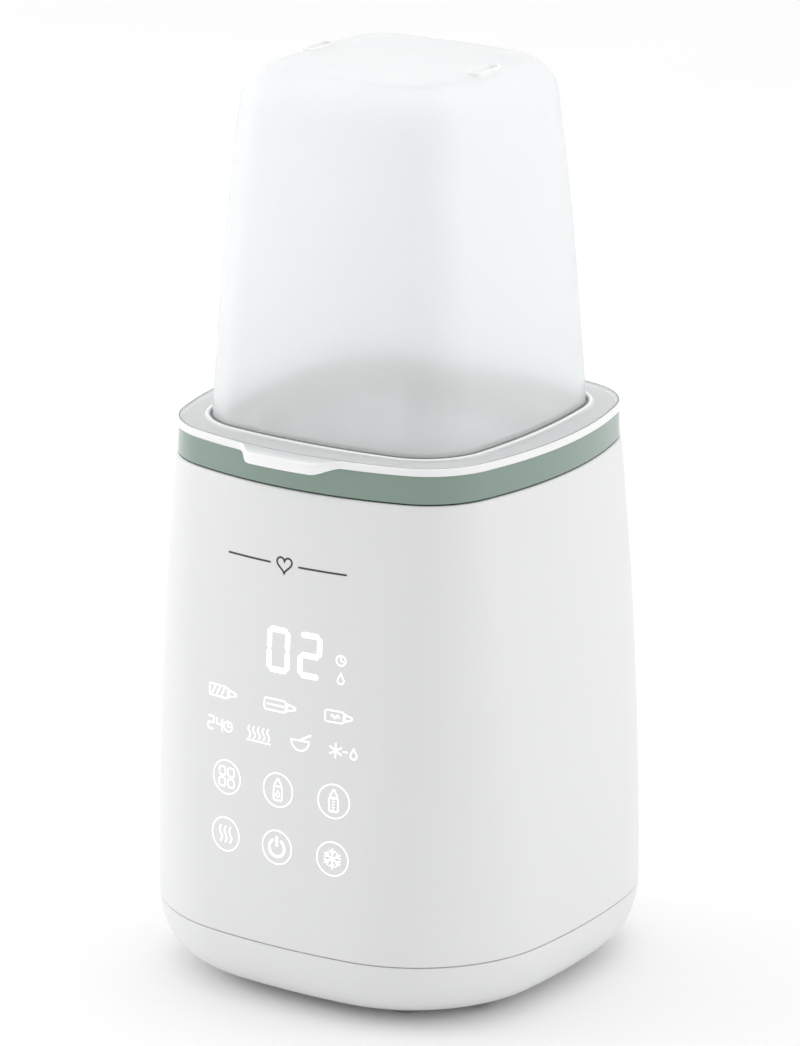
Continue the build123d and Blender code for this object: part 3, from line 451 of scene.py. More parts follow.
def disc_cutter(name, centre, radius, y_low, y_high, steps=64):
    """A round cutter along Y."""
    rings = []
    for y in (y_low, y_high):
        rings.append([(centre.x + radius * cos(2 * pi * k / steps), y,
                       centre.z + radius * sin(2 * pi * k / steps)) for k in range(steps)])
    vertices = rings[0] + rings[1]
    faces = [tuple(range(steps))[::-1], tuple(range(steps, 2 * steps))]
    faces += [(k, (k + 1) % steps, steps + (k + 1) % steps, steps + k) for k in range(steps)]
    mesh = bpy.data.meshes.new(name)
    mesh.from_pydata(vertices, [], faces)
    cutter = bpy.data.objects.new(name, mesh)
    bpy.context.scene.collection.objects.link(cutter)
    return cutter


def apply_modifiers(piece):
    """Replaces a piece's mesh by its evaluated one, so that no modifier is left."""
    view = bpy.context.evaluated_depsgraph_get()
    mesh = bpy.data.meshes.new_from_object(piece.evaluated_get(view))
    piece.modifiers.clear()
    piece.data = mesh
    return piece


def boolean(piece, other, operation):
    """Cuts or joins another mesh, applies it, and removes the other."""
    modifier = piece.modifiers.new("boolean", "BOOLEAN")
    modifier.operation = operation
    modifier.solver = "EXACT"
    modifier.object = other
    if other.data.materials:
        modifier.material_mode = "TRANSFER"
    apply_modifiers(piece)
    bpy.data.objects.remove(other)
    return piece


gland_cut = disc_cutter("gland_cut", gland_middle, gland_seat_radius, gland_high.y - GLAND_SEAT_DEPTH,
                        BEHIND_BACK)
boolean(shell, gland_cut, "DIFFERENCE")
smooth(shell, 50)
finish_piece(shell, body_white, "warmer", "white_shell", "outer_shell")

# %% [markdown]
# The base cover closes the body from below. Its rounding is densest near the floor, so the
# rings follow equal turns of the curve rather than equal heights. The feet sit in round
# recesses, the four screws in deep holes, and a row of slots lets warm air out.

# %% Base cover
def base_heights(count):
    """Heights that follow equal turns of the rounded edge, from the seam to the bottom."""
    start = asin((ROUND_ABOVE_SEAM / ROUND_HEIGHT) ** (ROUND_POWER / 2))
    found = []
    for angle in spread(start, pi / 2, count):
        found.append(Z_SEAM + ROUND_ABOVE_SEAM - sin(angle) ** (2 / ROUND_POWER) * ROUND_HEIGHT)
    return found


z_base_top = Z_SEAM - SEAM_GAP / 2
FLOOR_WALL = 2.5 * MM
base_rings = edge_turn(z_base_top, 1, 0)[::-1]
base_rings += [body_ring(z) for z in base_heights(22)[1:]]
bottom_half = body_half(Z_BASE)
for share in (0.8, 0.55, 0.3):
    base_rings.append(ring(Z_BASE, bottom_half * share, body_side(Z_BASE) * share, BOTTOM_CORNER * share))
inner_rings = []
for share in (0.3, 0.6, 0.85):
    inner_rings.append(ring(Z_BASE + FLOOR_WALL, bottom_half * share, body_side(Z_BASE) * share,
                            BOTTOM_CORNER * share))
inner_rings += [body_ring(z, WALL, FLOOR_WALL * (Z_SEAM - z) / (Z_SEAM - Z_BASE))
                for z in base_heights(12)[::-1]]
base = loft_mesh("base_cover_skin", base_rings, cap_last=True)
inside = loft_mesh("inside", inner_rings, cap_first=True)


def join(piece, *others):
    """Joins meshes into one piece."""
    work = bmesh.new()
    for each in (piece, *others):
        work.from_mesh(each.data)
    bmesh.ops.remove_doubles(work, verts=work.verts, dist=1e-6)
    work.to_mesh(piece.data)
    work.free()
    for each in others:
        bpy.data.objects.remove(each)
    return piece


def bridge_open_edges(piece):
    """Closes the gap between two open loops and sets the normals outward."""
    work = bmesh.new()
    work.from_mesh(piece.data)
    bmesh.ops.bridge_loops(work, edges=[edge for edge in work.edges if edge.is_boundary])
    bmesh.ops.recalc_face_normals(work, faces=work.faces)
    work.to_mesh(piece.data)
    work.free()
    return piece


bridge_open_edges(join(base, inside))
print("base cover faces", len(base.data.polygons))

# %% [markdown]
# The underside is worked like the real one: round recesses that hold the feet, four posts with
# deep holes for the long screws, and five air slots in the middle. Upright cutters made from a
# closed path do all of it, so one helper is enough.

# %% Recesses, posts, screw holes and air slots
def slot_path(x, y, width, length, steps=16):
    """A round-ended slot along Y, or along X where the width is the larger. Equal sizes make a disc."""
    radius = min(width, length) / 2
    reach_x, reach_y = max(0.0, width / 2 - radius), max(0.0, length / 2 - radius)
    points = []
    for k in range(2 * steps):
        angle = pi * (k + 0.5) / steps
        side_x = reach_x if cos(angle) > 0 else -reach_x
        side_y = reach_y if sin(angle) > 0 else -reach_y
        points.append((x + side_x + radius * cos(angle), y + side_y + radius * sin(angle)))
    return points


def prism(name, path, z_low, z_high):
    """An upright solid on a closed path."""
    count = len(path)
    vertices = [(x, y, z_low) for x, y in path] + [(x, y, z_high) for x, y in path]
    faces = [tuple(range(count))[::-1], tuple(range(count, 2 * count))]
    faces += [(k, (k + 1) % count, count + (k + 1) % count, count + k) for k in range(count)]
    mesh = bpy.data.meshes.new(name)
    mesh.from_pydata(vertices, [], faces)
    solid = bpy.data.objects.new(name, mesh)
    bpy.context.scene.collection.objects.link(solid)
    return solid


FOOT_RADIUS, FOOT_RECESS, FOOT_GAP = 6.0 * MM, 1.0 * MM, 0.15 * MM
POST_RADIUS, HEAD_HOLE, SHANK_HOLE = 4.5 * MM, 3.2 * MM, 1.8 * MM
POST_ABOVE_BASE, POST_BELOW_EDGE = 1.0 * MM, 0.1 * MM
HEAD_BELOW_SEAM, SHANK_ABOVE_SEAM = 3.0 * MM, 1.0 * MM
SCREW_HEAD = 2.9 * MM
AIR_PITCH, AIR_LENGTH, AIR_WIDTH = 6 * MM, 22 * MM, 2.4 * MM
CUT_MARGIN = 2 * MM
feet_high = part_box("rubber_feet")[1]
screw_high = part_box("base_screws")[1]
foot_x, foot_y = feet_high.x - FOOT_RADIUS, feet_high.y - FOOT_RADIUS
post_x, post_y = screw_high.x - SCREW_HEAD, screw_high.y - SCREW_HEAD
corners = [(i, j) for i in (-1, 1) for j in (-1, 1)]
below = Z_BASE - CUT_MARGIN


def round_prism(name, x, y, radius, z_low, z_high, steps=16):
    """An upright round solid."""
    return prism(name, slot_path(x, y, 2 * radius, 2 * radius, steps), z_low, z_high)


for i, j in corners:
    x, y = i * post_x, j * post_y
    post = round_prism("post", x, y, POST_RADIUS, Z_BASE + POST_ABOVE_BASE, z_base_top - POST_BELOW_EDGE)
    boolean(base, post, "UNION")
    for radius, z_end in ((HEAD_HOLE, Z_SEAM - HEAD_BELOW_SEAM), (SHANK_HOLE, Z_SEAM + SHANK_ABOVE_SEAM)):
        boolean(base, round_prism("hole", x, y, radius, below, z_end), "DIFFERENCE")
    recess_radius = FOOT_RADIUS + FOOT_GAP
    recess = round_prism("recess", i * foot_x, j * foot_y, recess_radius, below, Z_BASE + FOOT_RECESS, 24)
    boolean(base, recess, "DIFFERENCE")
for step in range(-2, 3):
    slot = slot_path(0, step * AIR_PITCH, AIR_LENGTH, AIR_WIDTH)
    boolean(base, prism("air_slot", slot, below, Z_BASE + 2 * FLOOR_WALL), "DIFFERENCE")
smooth(base, 40)
finish_piece(base, base_white, "warmer", "white_base", "base_cover")

# %% [markdown]
# The sage ring sits on the shell with a shadow gap below it. It stands back a little from the
# shell, so the shell's rounded top edge catches a thin line of light. Inside it carries the deck that
# the lid's flange rests on, a coaming that keeps the lid in place, and the throat of the well.
# It is one closed profile: the loft runs out over the band, in across the deck, over the
# coaming, down the throat and back underneath.

# %% Sage ring
TRIM_SET_BACK = 0.4 * MM
TRIM_DRAFT = 0.3 * MM
TRIM_EDGE = 0.4 * MM
TRIM_WALL = 2.0 * MM
NECK = 2.9 * MM
COAMING_HALF = 44.0 * MM
COAMING_WALL = 1.8 * MM
COAMING_SIDE, COAMING_CORNER = 192.4 * MM, 17.4 * MM
THROAT_ROUND = 1.2 * MM
BAND_MARGIN = 1.0 * MM
SKIRT_BELOW_WELL = 2.0 * MM
GASKET_WIDTH = 3.0 * MM
WELL_RADIUS = 41.0 * MM
well_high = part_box("inner_well")[1]
gasket_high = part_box("well_gasket")[1]


def band_ring(height, inset):
    return ring(height, TOP_HALF - inset, TOP_SIDE - inset, TOP_CORNER - inset)


def coaming_ring(height, inset):
    return ring(height, COAMING_HALF - inset, COAMING_SIDE - inset, COAMING_CORNER - inset)


def round_ring(height, radius):
    """A circle whose points stand on the same bearings as the outline's."""
    points = []
    for x, y in outline(TOP_HALF, TOP_SIDE, TOP_CORNER):
        length = sqrt(x * x + y * y)
        points.append((x / length * radius, y / length * radius, height))
    return points


def turned_edge(make, height, inset, radius, rising, inward, steps=4):
    """Rings round an edge. rising: the wall meets the edge from below. inward: the top runs inward."""
    rings = []
    for step in range(steps + 1):
        angle = pi / 2 * step / steps
        side = radius * (1 - cos(angle)) if inward else -radius * (1 - cos(angle))
        drop = radius * (sin(angle) - 1) if rising else radius * (1 - sin(angle))
        rings.append(make(height + drop, inset + side))
    return rings


trim_rings = [band_ring(Z_TOP, NECK)]
trim_rings += turned_edge(band_ring, Z_TOP, TRIM_SET_BACK, TRIM_EDGE, False, True)[::-1]
for z in spread(Z_TOP + BAND_MARGIN, Z_RIM - BAND_MARGIN, 4):
    trim_rings.append(band_ring(z, TRIM_SET_BACK + TRIM_DRAFT * (z - Z_TOP) / (Z_RIM - Z_TOP)))
trim_rings += turned_edge(band_ring, Z_RIM, TRIM_SET_BACK + TRIM_DRAFT, TRIM_EDGE, True, True)
trim_rings += [coaming_ring(Z_RIM, 0)]
trim_rings += turned_edge(coaming_ring, trim_high.z, 0, TRIM_EDGE, True, True)
trim_rings += turned_edge(coaming_ring, trim_high.z, COAMING_WALL, TRIM_EDGE, True, False)[::-1]
trim_rings += [coaming_ring(Z_RIM, COAMING_WALL)]
trim_rings += [round_ring(Z_RIM - THROAT_ROUND * (1 - cos(a)), WELL_RADIUS + THROAT_ROUND * (1 - sin(a)))
               for a in spread(0, pi / 2, 5)]
trim_rings += [round_ring(gasket_high.z, WELL_RADIUS), round_ring(gasket_high.z, WELL_RADIUS + GASKET_WIDTH)]
trim_rings += [round_ring(Z_RIM - TRIM_WALL, WELL_RADIUS + GASKET_WIDTH)]
trim_rings += [band_ring(Z_RIM - TRIM_WALL, NECK + TRIM_WALL)]
z_skirt = well_high.z - SKIRT_BELOW_WELL
trim_rings += [band_ring(z_skirt, NECK + TRIM_WALL), band_ring(z_skirt, NECK)]
trim = smooth(loft_mesh("sage_ring", trim_rings, closed=True), 40)
finish_piece(trim, sage, "warmer", "sage_trim", "trim_ring")

# %% [markdown]
# The lid is one moulding: a flange with a raised rim, a bead round the dome's foot, and the
# tall dome with its rounded top. The finger tab is not a separate plate. It is the raised rim
# that grows wider: the rim's inner step runs straight on, and its outer edge swings forward in
# an S-curve on each side and hangs down in a lip. So only the outer rings' points are moved.

# %% Lid profile
DOME_WALL = 2.0 * MM
DOME_HALF = 46.6 * MM
DOME_TAPER = 9.2 * MM
DOME_BULGE = 0.8 * MM
DOME_ROUND = 11.0 * MM
DOME_CROWN = 1.0 * MM
DOME_SIDE, DOME_CORNER = 195 * MM, 20 * MM
RIM_WIDTH = 1.5 * MM
RIM_RISE = 0.5 * MM
RIM_ROUND = 0.7 * MM
RIM_STEP = 0.3 * MM
RIM_LINE_INSIDE, RIM_LINE_OUTSIDE = 1.15 * MM, 0.8 * MM
RIM_LINE_DEPTH, RIM_LINE_SLOPE = 0.2 * MM, 0.05 * MM
FLAT_INSIDE, FLAT_OUTSIDE = 8.4 * MM, 2.9 * MM
UNDER_TAB, UNDER_RIM, UNDER_FOOT = 2.6 * MM, 3.4 * MM, 9.2 * MM
BEAD_WIDTH = 1.5 * MM
BEAD_RISE = 0.9 * MM
BEAD_STEP = 0.25 * MM
GROOVE = 0.7 * MM
GROOVE_DEPTH = 0.2 * MM
FOOT_SHADE = 0.9 * MM
TAB_HALF = 14.0 * MM
TAB_REACH = 5.0 * MM
TAB_TURN = 3.4 * MM
TAB_DIP = 0.3 * MM
TAB_LIP = 1.2 * MM
TAB_LIP_WIDTH, TAB_LIP_STEP = 1.6 * MM, 0.4 * MM
dome_height = Z_DOME - Z_FLANGE
z_shoulder = Z_DOME - DOME_CROWN - DOME_ROUND


def tab_share(x):
    """0 beside the tab, 1 along it, with an S-curve on each side."""
    along = min(1.0, max(0.0, (TAB_HALF + TAB_TURN - abs(x)) / (2 * TAB_TURN)))
    return along * along * (3 - 2 * along)


def flange_ring(height, inset, swell=1.0, lip=0.0):
    """The flange's outline. swell is how much of the tab it takes part in, lip how low its tip hangs."""
    points = []
    for x, y, z in band_ring(height, inset):
        share = tab_share(x) * swell if y < 0 else 0.0
        points.append((x, y - TAB_REACH * share, z - (TAB_DIP + lip) * share))
    return points


def plain_flange_ring(height, inset):
    return flange_ring(height, inset, 0.0)


def tab_lip_ring(height, inset):
    return flange_ring(height, inset, 1.0, TAB_LIP)


def dome_ring(height, inset, shrink=0.0):
    up = (height - Z_FLANGE) / dome_height
    pulled = DOME_TAPER * up - 4 * DOME_BULGE * up * (1 - up) + shrink
    corner = DOME_CORNER - 0.5 * DOME_TAPER * up - 0.6 * shrink - inset
    return ring(height, DOME_HALF - pulled - inset, DOME_SIDE - inset, max(corner, 2 * MM))


def foot_ring(height, outset):
    """Round the dome's foot, outset from its wall."""
    return ring(height, DOME_HALF + outset, DOME_SIDE + outset, DOME_CORNER + outset)


def dome_top(inset, crown):
    """The rounded edge and the slightly crowned top, from the shoulder to near the middle."""
    radius = DOME_ROUND - inset
    rings = []
    for angle in spread(0, pi / 2, 12)[1:]:
        rings.append(dome_ring(z_shoulder + radius * sin(angle), inset, radius * (1 - cos(angle))))
    edge = rings[-1]
    for share in (0.82, 0.62, 0.42, 0.22):
        rise = crown * (1 - share * share)
        rings.append([(x * share, y * share, z + rise) for x, y, z in edge])
    return rings


z_sunk = Z_FLANGE - RIM_RISE
outer = [dome_ring(z_sunk - GROOVE_DEPTH, 0), dome_ring(z_sunk + FOOT_SHADE, 0)]
outer += [dome_ring(z, 0) for z in spread(z_sunk + 4 * FOOT_SHADE, z_shoulder, 25)] + dome_top(0, DOME_CROWN)
inner = [dome_ring(z, DOME_WALL) for z in spread(Z_RIM, z_shoulder, 24)] + dome_top(DOME_WALL, DOME_CROWN)
bead_top = Z_FLANGE - RIM_RISE + BEAD_RISE
bead = [foot_ring(z_sunk - GROOVE_DEPTH, GROOVE * 0.6), foot_ring(z_sunk + GROOVE_DEPTH, GROOVE)]
bead_radius = BEAD_WIDTH / 2
for angle in spread(0, pi, 9):
    z = bead_top - 0.8 * bead_radius * (1 - sin(angle))
    bead.append(foot_ring(z, GROOVE + bead_radius * (1 - cos(angle))))
bead += [foot_ring(z_sunk, GROOVE + BEAD_WIDTH + BEAD_STEP)]
flat = [plain_flange_ring(z_sunk, inset) for inset in spread(FLAT_INSIDE, FLAT_OUTSIDE, 5)]
rim = [plain_flange_ring(z_sunk, RIM_WIDTH + RIM_STEP)]
rim += turned_edge(plain_flange_ring, Z_FLANGE, RIM_WIDTH, RIM_STEP, True, False)
line_from = len(rim)
z_line = Z_FLANGE - RIM_LINE_DEPTH
for height, inset in ((Z_FLANGE, RIM_LINE_INSIDE), (z_line, RIM_LINE_INSIDE - RIM_LINE_SLOPE),
                      (z_line, RIM_LINE_OUTSIDE + RIM_LINE_SLOPE), (Z_FLANGE, RIM_LINE_OUTSIDE)):
    rim.append(plain_flange_ring(height, inset))
for share in (0.25, 0.5, 0.75):
    rim.append(flange_ring(Z_FLANGE, RIM_LINE_OUTSIDE - share * (RIM_LINE_OUTSIDE - RIM_ROUND), share))
bright_from = len(rim)
rim += turned_edge(flange_ring, Z_FLANGE, 0, RIM_ROUND, True, True)[::-1]
rim += turned_edge(tab_lip_ring, Z_RIM, 0, RIM_ROUND * 0.6, False, True)
under = [tab_lip_ring(Z_RIM, TAB_LIP_WIDTH), flange_ring(Z_RIM, TAB_LIP_WIDTH + TAB_LIP_STEP)]
under += [flange_ring(Z_RIM, UNDER_TAB, 0.5)]
under += [plain_flange_ring(Z_RIM, UNDER_RIM), plain_flange_ring(Z_RIM, UNDER_FOOT)]
under += [foot_ring(Z_RIM, RIM_STEP - DOME_WALL)]
print("rings outside", len(outer), "flange", len(bead + flat + rim + under), "inside", len(inner))

# %% [markdown]
# The two vents let steam out. They are cut through the rounded edge of the top, near its left
# and right sides. Each one first gets a low round-ended lip, joined to the dome, and then a
# cutter of the same shape goes through both. Lip and cut take the white edge finish, partly a
# painted highlight, so the lip's flat top draws the vent in white.

# %% Lid
VENT_LENGTH, VENT_WIDTH = 12.5 * MM, 3.4 * MM
VENT_FROM_EDGE = 8.8 * MM
VENT_LIP = 1.4 * MM
VENT_LIP_BELOW, VENT_LIP_ABOVE = 2.9 * MM, 0.6 * MM
lid_rings = outer[::-1] + bead + flat + rim + under + inner
lid = loft_mesh("frosted_lid", lid_rings, cap_first=True, cap_last=True)
for finish in (lid_frost, lid_flange, lid_milky_edge_and_painted_highlight, lid_painted_groove_shade):
    lid.data.materials.append(finish)
FROST_SLOT, FLANGE_SLOT, MILKY_EDGE_AND_HIGHLIGHT_SLOT, GROOVE_PAINTED_SHADE_SLOT = range(4)
per_ring = len(lid_rings[0])
bead_from = len(outer)
crest_from, crest_to = bead_from + 5, bead_from + 9
rim_from = bead_from + len(bead) + len(flat)
line_from += rim_from
under_from = rim_from + len(rim)
finish_of_span = {}
# The bead's crest, the rim's outer rounding and the tab's lip get the white edge finish, partly a painted
# highlight. The groove at the dome's foot and the line along the rim get painted shade.
for slot, first, after_last in (
        (FLANGE_SLOT, bead_from - 1, under_from + len(under)),
        (MILKY_EDGE_AND_HIGHLIGHT_SLOT, crest_from, crest_to),
        (MILKY_EDGE_AND_HIGHLIGHT_SLOT, rim_from + bright_from, under_from),
        (GROOVE_PAINTED_SHADE_SLOT, bead_from - 2, bead_from + 1),
        (GROOVE_PAINTED_SHADE_SLOT, line_from, line_from + 3)):
    finish_of_span.update({span: slot for span in range(first, after_last)})
for face in lid.data.polygons:
    face.material_index = finish_of_span.get(face.index // per_ring, FROST_SLOT)


vent_x = DOME_HALF - DOME_TAPER - VENT_FROM_EDGE
for side in (-1, 1):
    for name, wider, z_low, z_high, operation in (
            ("vent_lip", VENT_LIP, Z_DOME - VENT_LIP_BELOW, Z_DOME - VENT_LIP_ABOVE, "UNION"),
            ("vent_cut", 0, z_shoulder, Z_DOME + DOME_WALL, "DIFFERENCE")):
        around = slot_path(side * vent_x, 0, VENT_WIDTH + wider, VENT_LENGTH + wider)
        tool = prism(name, around, z_low, z_high)
        # The lip and the vent's cut walls take the white edge finish, partly a painted highlight.
        tool.data.materials.append(lid_milky_edge_and_painted_highlight)
        boolean(lid, tool, operation)
smooth(lid, 40)
finish_piece(lid, lid_frost, "lid", "frosted_lid", "lid")

# %% [markdown]
# The display hides behind the white wall: its marks only show where lit. They are drawn as
# thin raised strokes that follow the bowed front, because a separate closed piece keeps a crisp
# edge at any distance and survives the export, which a painted mask wouldn't. Each mark is a
# few strokes given by their bends. The helper lays them on the wall and rounds their ends.

# %% Strokes that follow the front wall
MARK_LIFT = 0.06 * MM
MARK_SINK = 0.05 * MM


def on_front(x, z, lift):
    """The point of the front wall at x and z, moved out by lift."""
    side = body_side(z)
    return (x, -body_half(z) + side - sqrt(side * side - x * x) - lift, z)


def add_plate(work, loops):
    """A thin closed plate between pairs of edge points, given as two rows of equal length."""
    left, right, closed = loops
    rows = []
    for lift in (MARK_LIFT, -MARK_SINK):
        for row in (left, right):
            rows.append([work.verts.new(on_front(x, z, lift)) for x, z in row])
    top_left, top_right, low_left, low_right = rows
    count = len(left)
    for k in range(count if closed else count - 1):
        after = (k + 1) % count
        for first, second in ((top_left, top_right), (low_right, low_left), (top_right, low_right),
                              (low_left, top_left)):
            work.faces.new((first[k], second[k], second[after], first[after]))
    if not closed:
        work.faces.new((top_left[0], low_left[0], low_right[0], top_right[0]))
        work.faces.new((top_left[-1], top_right[-1], low_right[-1], low_left[-1]))


def divided(path, closed, longest=0.8 * MM):
    """The path with its long runs divided, so that it bends with the wall."""
    points = []
    ends = path[1:] + path[:1] if closed else path[1:]
    for (x, z), (next_x, next_z) in zip(path, ends):
        parts = max(1, round(sqrt((next_x - x) ** 2 + (next_z - z) ** 2) / longest))
        points += [(x + (next_x - x) * k / parts, z + (next_z - z) * k / parts) for k in range(parts)]
    return points if closed else points + [path[-1]]


def add_stroke(work, path, width, closed=False):
    """A stroke of even width along a path of (x, z) points, with round ends."""
    radius = width / 2
    left, right = [], []
    path = divided(path, closed)
    count = len(path)
    for k, (x, z) in enumerate(path):
        before = path[k - 1] if closed or k > 0 else path[k]
        after = path[(k + 1) % count] if closed or k < count - 1 else path[k]
        into = Vector((x - before[0], z - before[1]))
        out = Vector((after[0] - x, after[1] - z))
        into = into.normalized() if into.length > 0 else out.normalized()
        out = out.normalized() if out.length > 0 else into
        along = (into + out).normalized()
        reach = radius / max(0.5, along.dot(out))
        if not closed and k == 0:
            for turn in (80, 50, 25):
                back, half = radius * sin(radians(turn)), radius * cos(radians(turn))
                left.append((x - along.x * back - along.y * half, z - along.y * back + along.x * half))
                right.append((x - along.x * back + along.y * half, z - along.y * back - along.x * half))
        left.append((x - along.y * reach, z + along.x * reach))
        right.append((x + along.y * reach, z - along.x * reach))
        if not closed and k == count - 1:
            for turn in (25, 50, 80):
                on, half = radius * sin(radians(turn)), radius * cos(radians(turn))
                left.append((x + along.x * on - along.y * half, z + along.y * on + along.x * half))
                right.append((x + along.x * on + along.y * half, z + along.y * on - along.x * half))
    add_plate(work, (left, right, closed))


def arc_path(x, z, radius, start, end, steps=24):
    """Points of an arc, angles in degrees, from start to end."""
    return [(x + radius * cos(radians(a)), z + radius * sin(radians(a))) for a in spread(start, end, steps)]


def circle_path(x, z, radius, steps=48):
    return arc_path(x, z, radius, 0, 360, steps + 1)[:-1]


def rounded_box(x, z, width, height, corner):
    """A closed path round a box with round corners."""
    path = []
    for turn, (i, j) in enumerate(((1, 1), (-1, 1), (-1, -1), (1, -1))):
        middle_x, middle_z = x + i * (width / 2 - corner), z + j * (height / 2 - corner)
        path += arc_path(middle_x, middle_z, corner, 90 * turn, 90 * turn + 90, 6)
    return path


def mark(name, strokes, material, slot_name):
    """A piece from strokes: each is (path in mm from the display's column, width in mm, closed)."""
    work = bmesh.new()
    for path, width, closed in strokes:
        add_stroke(work, [(x * MM, z * MM) for x, z in path], width * MM, closed)
    bmesh.ops.recalc_face_normals(work, faces=work.faces)
    mesh = bpy.data.meshes.new(name)
    work.to_mesh(mesh)
    work.free()
    piece = bpy.data.objects.new(name, mesh)
    bpy.context.scene.collection.objects.link(piece)
    return finish_piece(piece, material, "warmer", slot_name)


def lit(name, strength):
    """White light through the thinned wall, faintly mottled."""
    material, tree, shader = new_material(name)
    mottle = two_tone(tree, noise(tree, 400, 2), (0.93, 0.95, 0.96), (1, 1, 1))
    tree.links.new(mottle, shader.inputs["Base Color"])
    tree.links.new(between(tree, noise(tree, 600, 2), 0.4, 0.5), shader.inputs["Roughness"])
    shader.inputs["Emission Color"].default_value = (1, 1, 1, 1)
    shader.inputs["Emission Strength"].default_value = strength
    return material


lit_white = lit("lit_white", 0.45)
print_grey = moulded("print_grey", (0.05, 0.052, 0.055), 0.5, 0.3, 0.005, tone=0.008)


def lit_mark(name, strokes):
    return mark(name, strokes, lit_white, "led_lens")


print("stroke helper ready")

# %% [markdown]
# The figures have seven segments with pointed ends and narrow gaps. The time reads 02. Beside
# it stand a clock and a drop, for minutes and for volume.

# %% Figures and units
SEGMENTS = {
    "top": ((-1, 2), (1, 2)), "upper_left": ((-1, 2), (-1, 0)), "upper_right": ((1, 2), (1, 0)),
    "middle": ((-1, 0), (1, 0)), "lower_left": ((-1, 0), (-1, -2)), "lower_right": ((1, 0), (1, -2)),
    "bottom": ((-1, -2), (1, -2)),
}
FIGURES = {
    "0": ("top", "upper_left", "upper_right", "lower_left", "lower_right", "bottom"),
    "2": ("top", "upper_right", "middle", "lower_left", "bottom"),
    "4": ("upper_left", "upper_right", "middle", "lower_right"),
}


def figure(text, x, z, width, height, stroke_width, gap):
    """Strokes of one seven-segment figure whose middle is at x, z."""
    strokes = []
    half_x, half_z = (width - stroke_width) / 2, (height - stroke_width) / 4
    for name in FIGURES[text]:
        (ax, az), (bx, bz) = SEGMENTS[name]
        start = Vector((x + ax * half_x, z + az * half_z))
        end = Vector((x + bx * half_x, z + bz * half_z))
        along = (end - start).normalized() * (gap + stroke_width / 2)
        strokes.append(([tuple(start + along), tuple(end - along)], stroke_width, False))
    return strokes


FIGURE_ROW, FIGURE_WIDTH, FIGURE_HEIGHT, FIGURE_LINE, FIGURE_GAP = 110.5, 8.0, 13.6, 1.7, 0.1
for name, text, x in (("figure_left", "0", -1.1), ("figure_right", "2", 9.6)):
    lit_mark(name, figure(text, x, FIGURE_ROW, FIGURE_WIDTH, FIGURE_HEIGHT, FIGURE_LINE, FIGURE_GAP))


def drop_path(x, z, size):
    """A drop: a round belly and a pointed top."""
    return arc_path(x, z - 0.2 * size, 0.5 * size, 150, 390, 18) + [(x, z + 0.85 * size)]


def clock(x, z, radius, line, hand_line, hand_drop):
    """A round clock face with two hands."""
    hands = [(x, z + 0.9), (x, z), (x + 0.7, z - hand_drop)]
    return [(circle_path(x, z, radius), line, True), (hands, hand_line, False)]


lit_mark("unit_clock", clock(19.7, 110.7, 1.45, 0.4, 0.35, 0.4))
lit_mark("unit_drop", [(drop_path(19.8, 105.2, 2.0), 0.4, True)])

# %% [markdown]
# Two rows of legends tell what is warmed and how. The upper row shows a faceted, a plain and
# a soft bottle, each beside its contents line. The lower row shows 24 hours, steam, a bowl and
# thawing. They are pictograms, so that they need no language.

# %% Legends
FINE = 0.42
LEGEND_HIGH, LEGEND_LOW = 94, 84


def lying_bottle(x, z, length):
    """A bottle on its side, its teat to the right."""
    body = rounded_box(x - 0.12 * length, z, 0.62 * length, 3.4, 0.7)
    collar = [(x + 0.24 * length, z - 1.2), (x + 0.24 * length, z + 1.2)]
    teat = [(x + 0.24 * length, z + 0.9), (x + 0.36 * length, z + 0.7), (x + 0.47 * length, z + 0.25),
            (x + 0.47 * length, z - 0.25), (x + 0.36 * length, z - 0.7), (x + 0.24 * length, z - 0.9)]
    return [(body, FINE, True), (collar, FINE, False), (teat, FINE, False)]


def steam_path(x, z, height):
    """One curl of steam."""
    return [(x + 0.45 * sin(2 * pi * t), z + height * (t - 0.5)) for t in spread(0, 1, 13)]


facets = []
for x in (-25.0, -23.2, -21.4):
    facets.append(([(x, LEGEND_HIGH - 1.1), (x + 1.1, LEGEND_HIGH + 1.1)], FINE, False))
lit_mark("legend_facets", lying_bottle(-21.2, LEGEND_HIGH, 11.4) + facets)
contents = [([(-4.4, LEGEND_HIGH), (1.2, LEGEND_HIGH)], FINE, False)]
lit_mark("legend_plain", lying_bottle(-0.3, LEGEND_HIGH, 12.0) + contents)
wave = [(17.2 + 0.28 * k, LEGEND_HIGH + 0.5 * sin(1.1 * k)) for k in range(10)]
lit_mark("legend_soft", lying_bottle(19.3, LEGEND_HIGH, 9.6) + [(wave, FINE, False)])

hours = clock(-18.6, LEGEND_LOW, 1.5, FINE, FINE, 0)
for text, x in (("4", -21.9), ("2", -25.2)):
    hours = figure(text, x, LEGEND_LOW, 2.6, 4.2, 0.45, 0.0) + hours
lit_mark("legend_hours", hours)
curls = [(steam_path(x, LEGEND_LOW + 0.4, 3.4), FINE, False) for x in (-10.6, -8.9, -7.2, -5.5, -3.8)]
tray = [([(-11.4, LEGEND_LOW - 2.1), (-3.0, LEGEND_LOW - 2.1)], FINE, False)]
lit_mark("legend_steam", curls + tray)
bowl = arc_path(7.2, LEGEND_LOW + 1, 3.0, 180, 360, 16) + [(4.2, LEGEND_LOW + 1)]
spoon = [(7.6, LEGEND_LOW + 1.4), (10.6, LEGEND_LOW + 3)]
lit_mark("legend_bowl", [(bowl, FINE, False), (spoon, 0.6, False)])


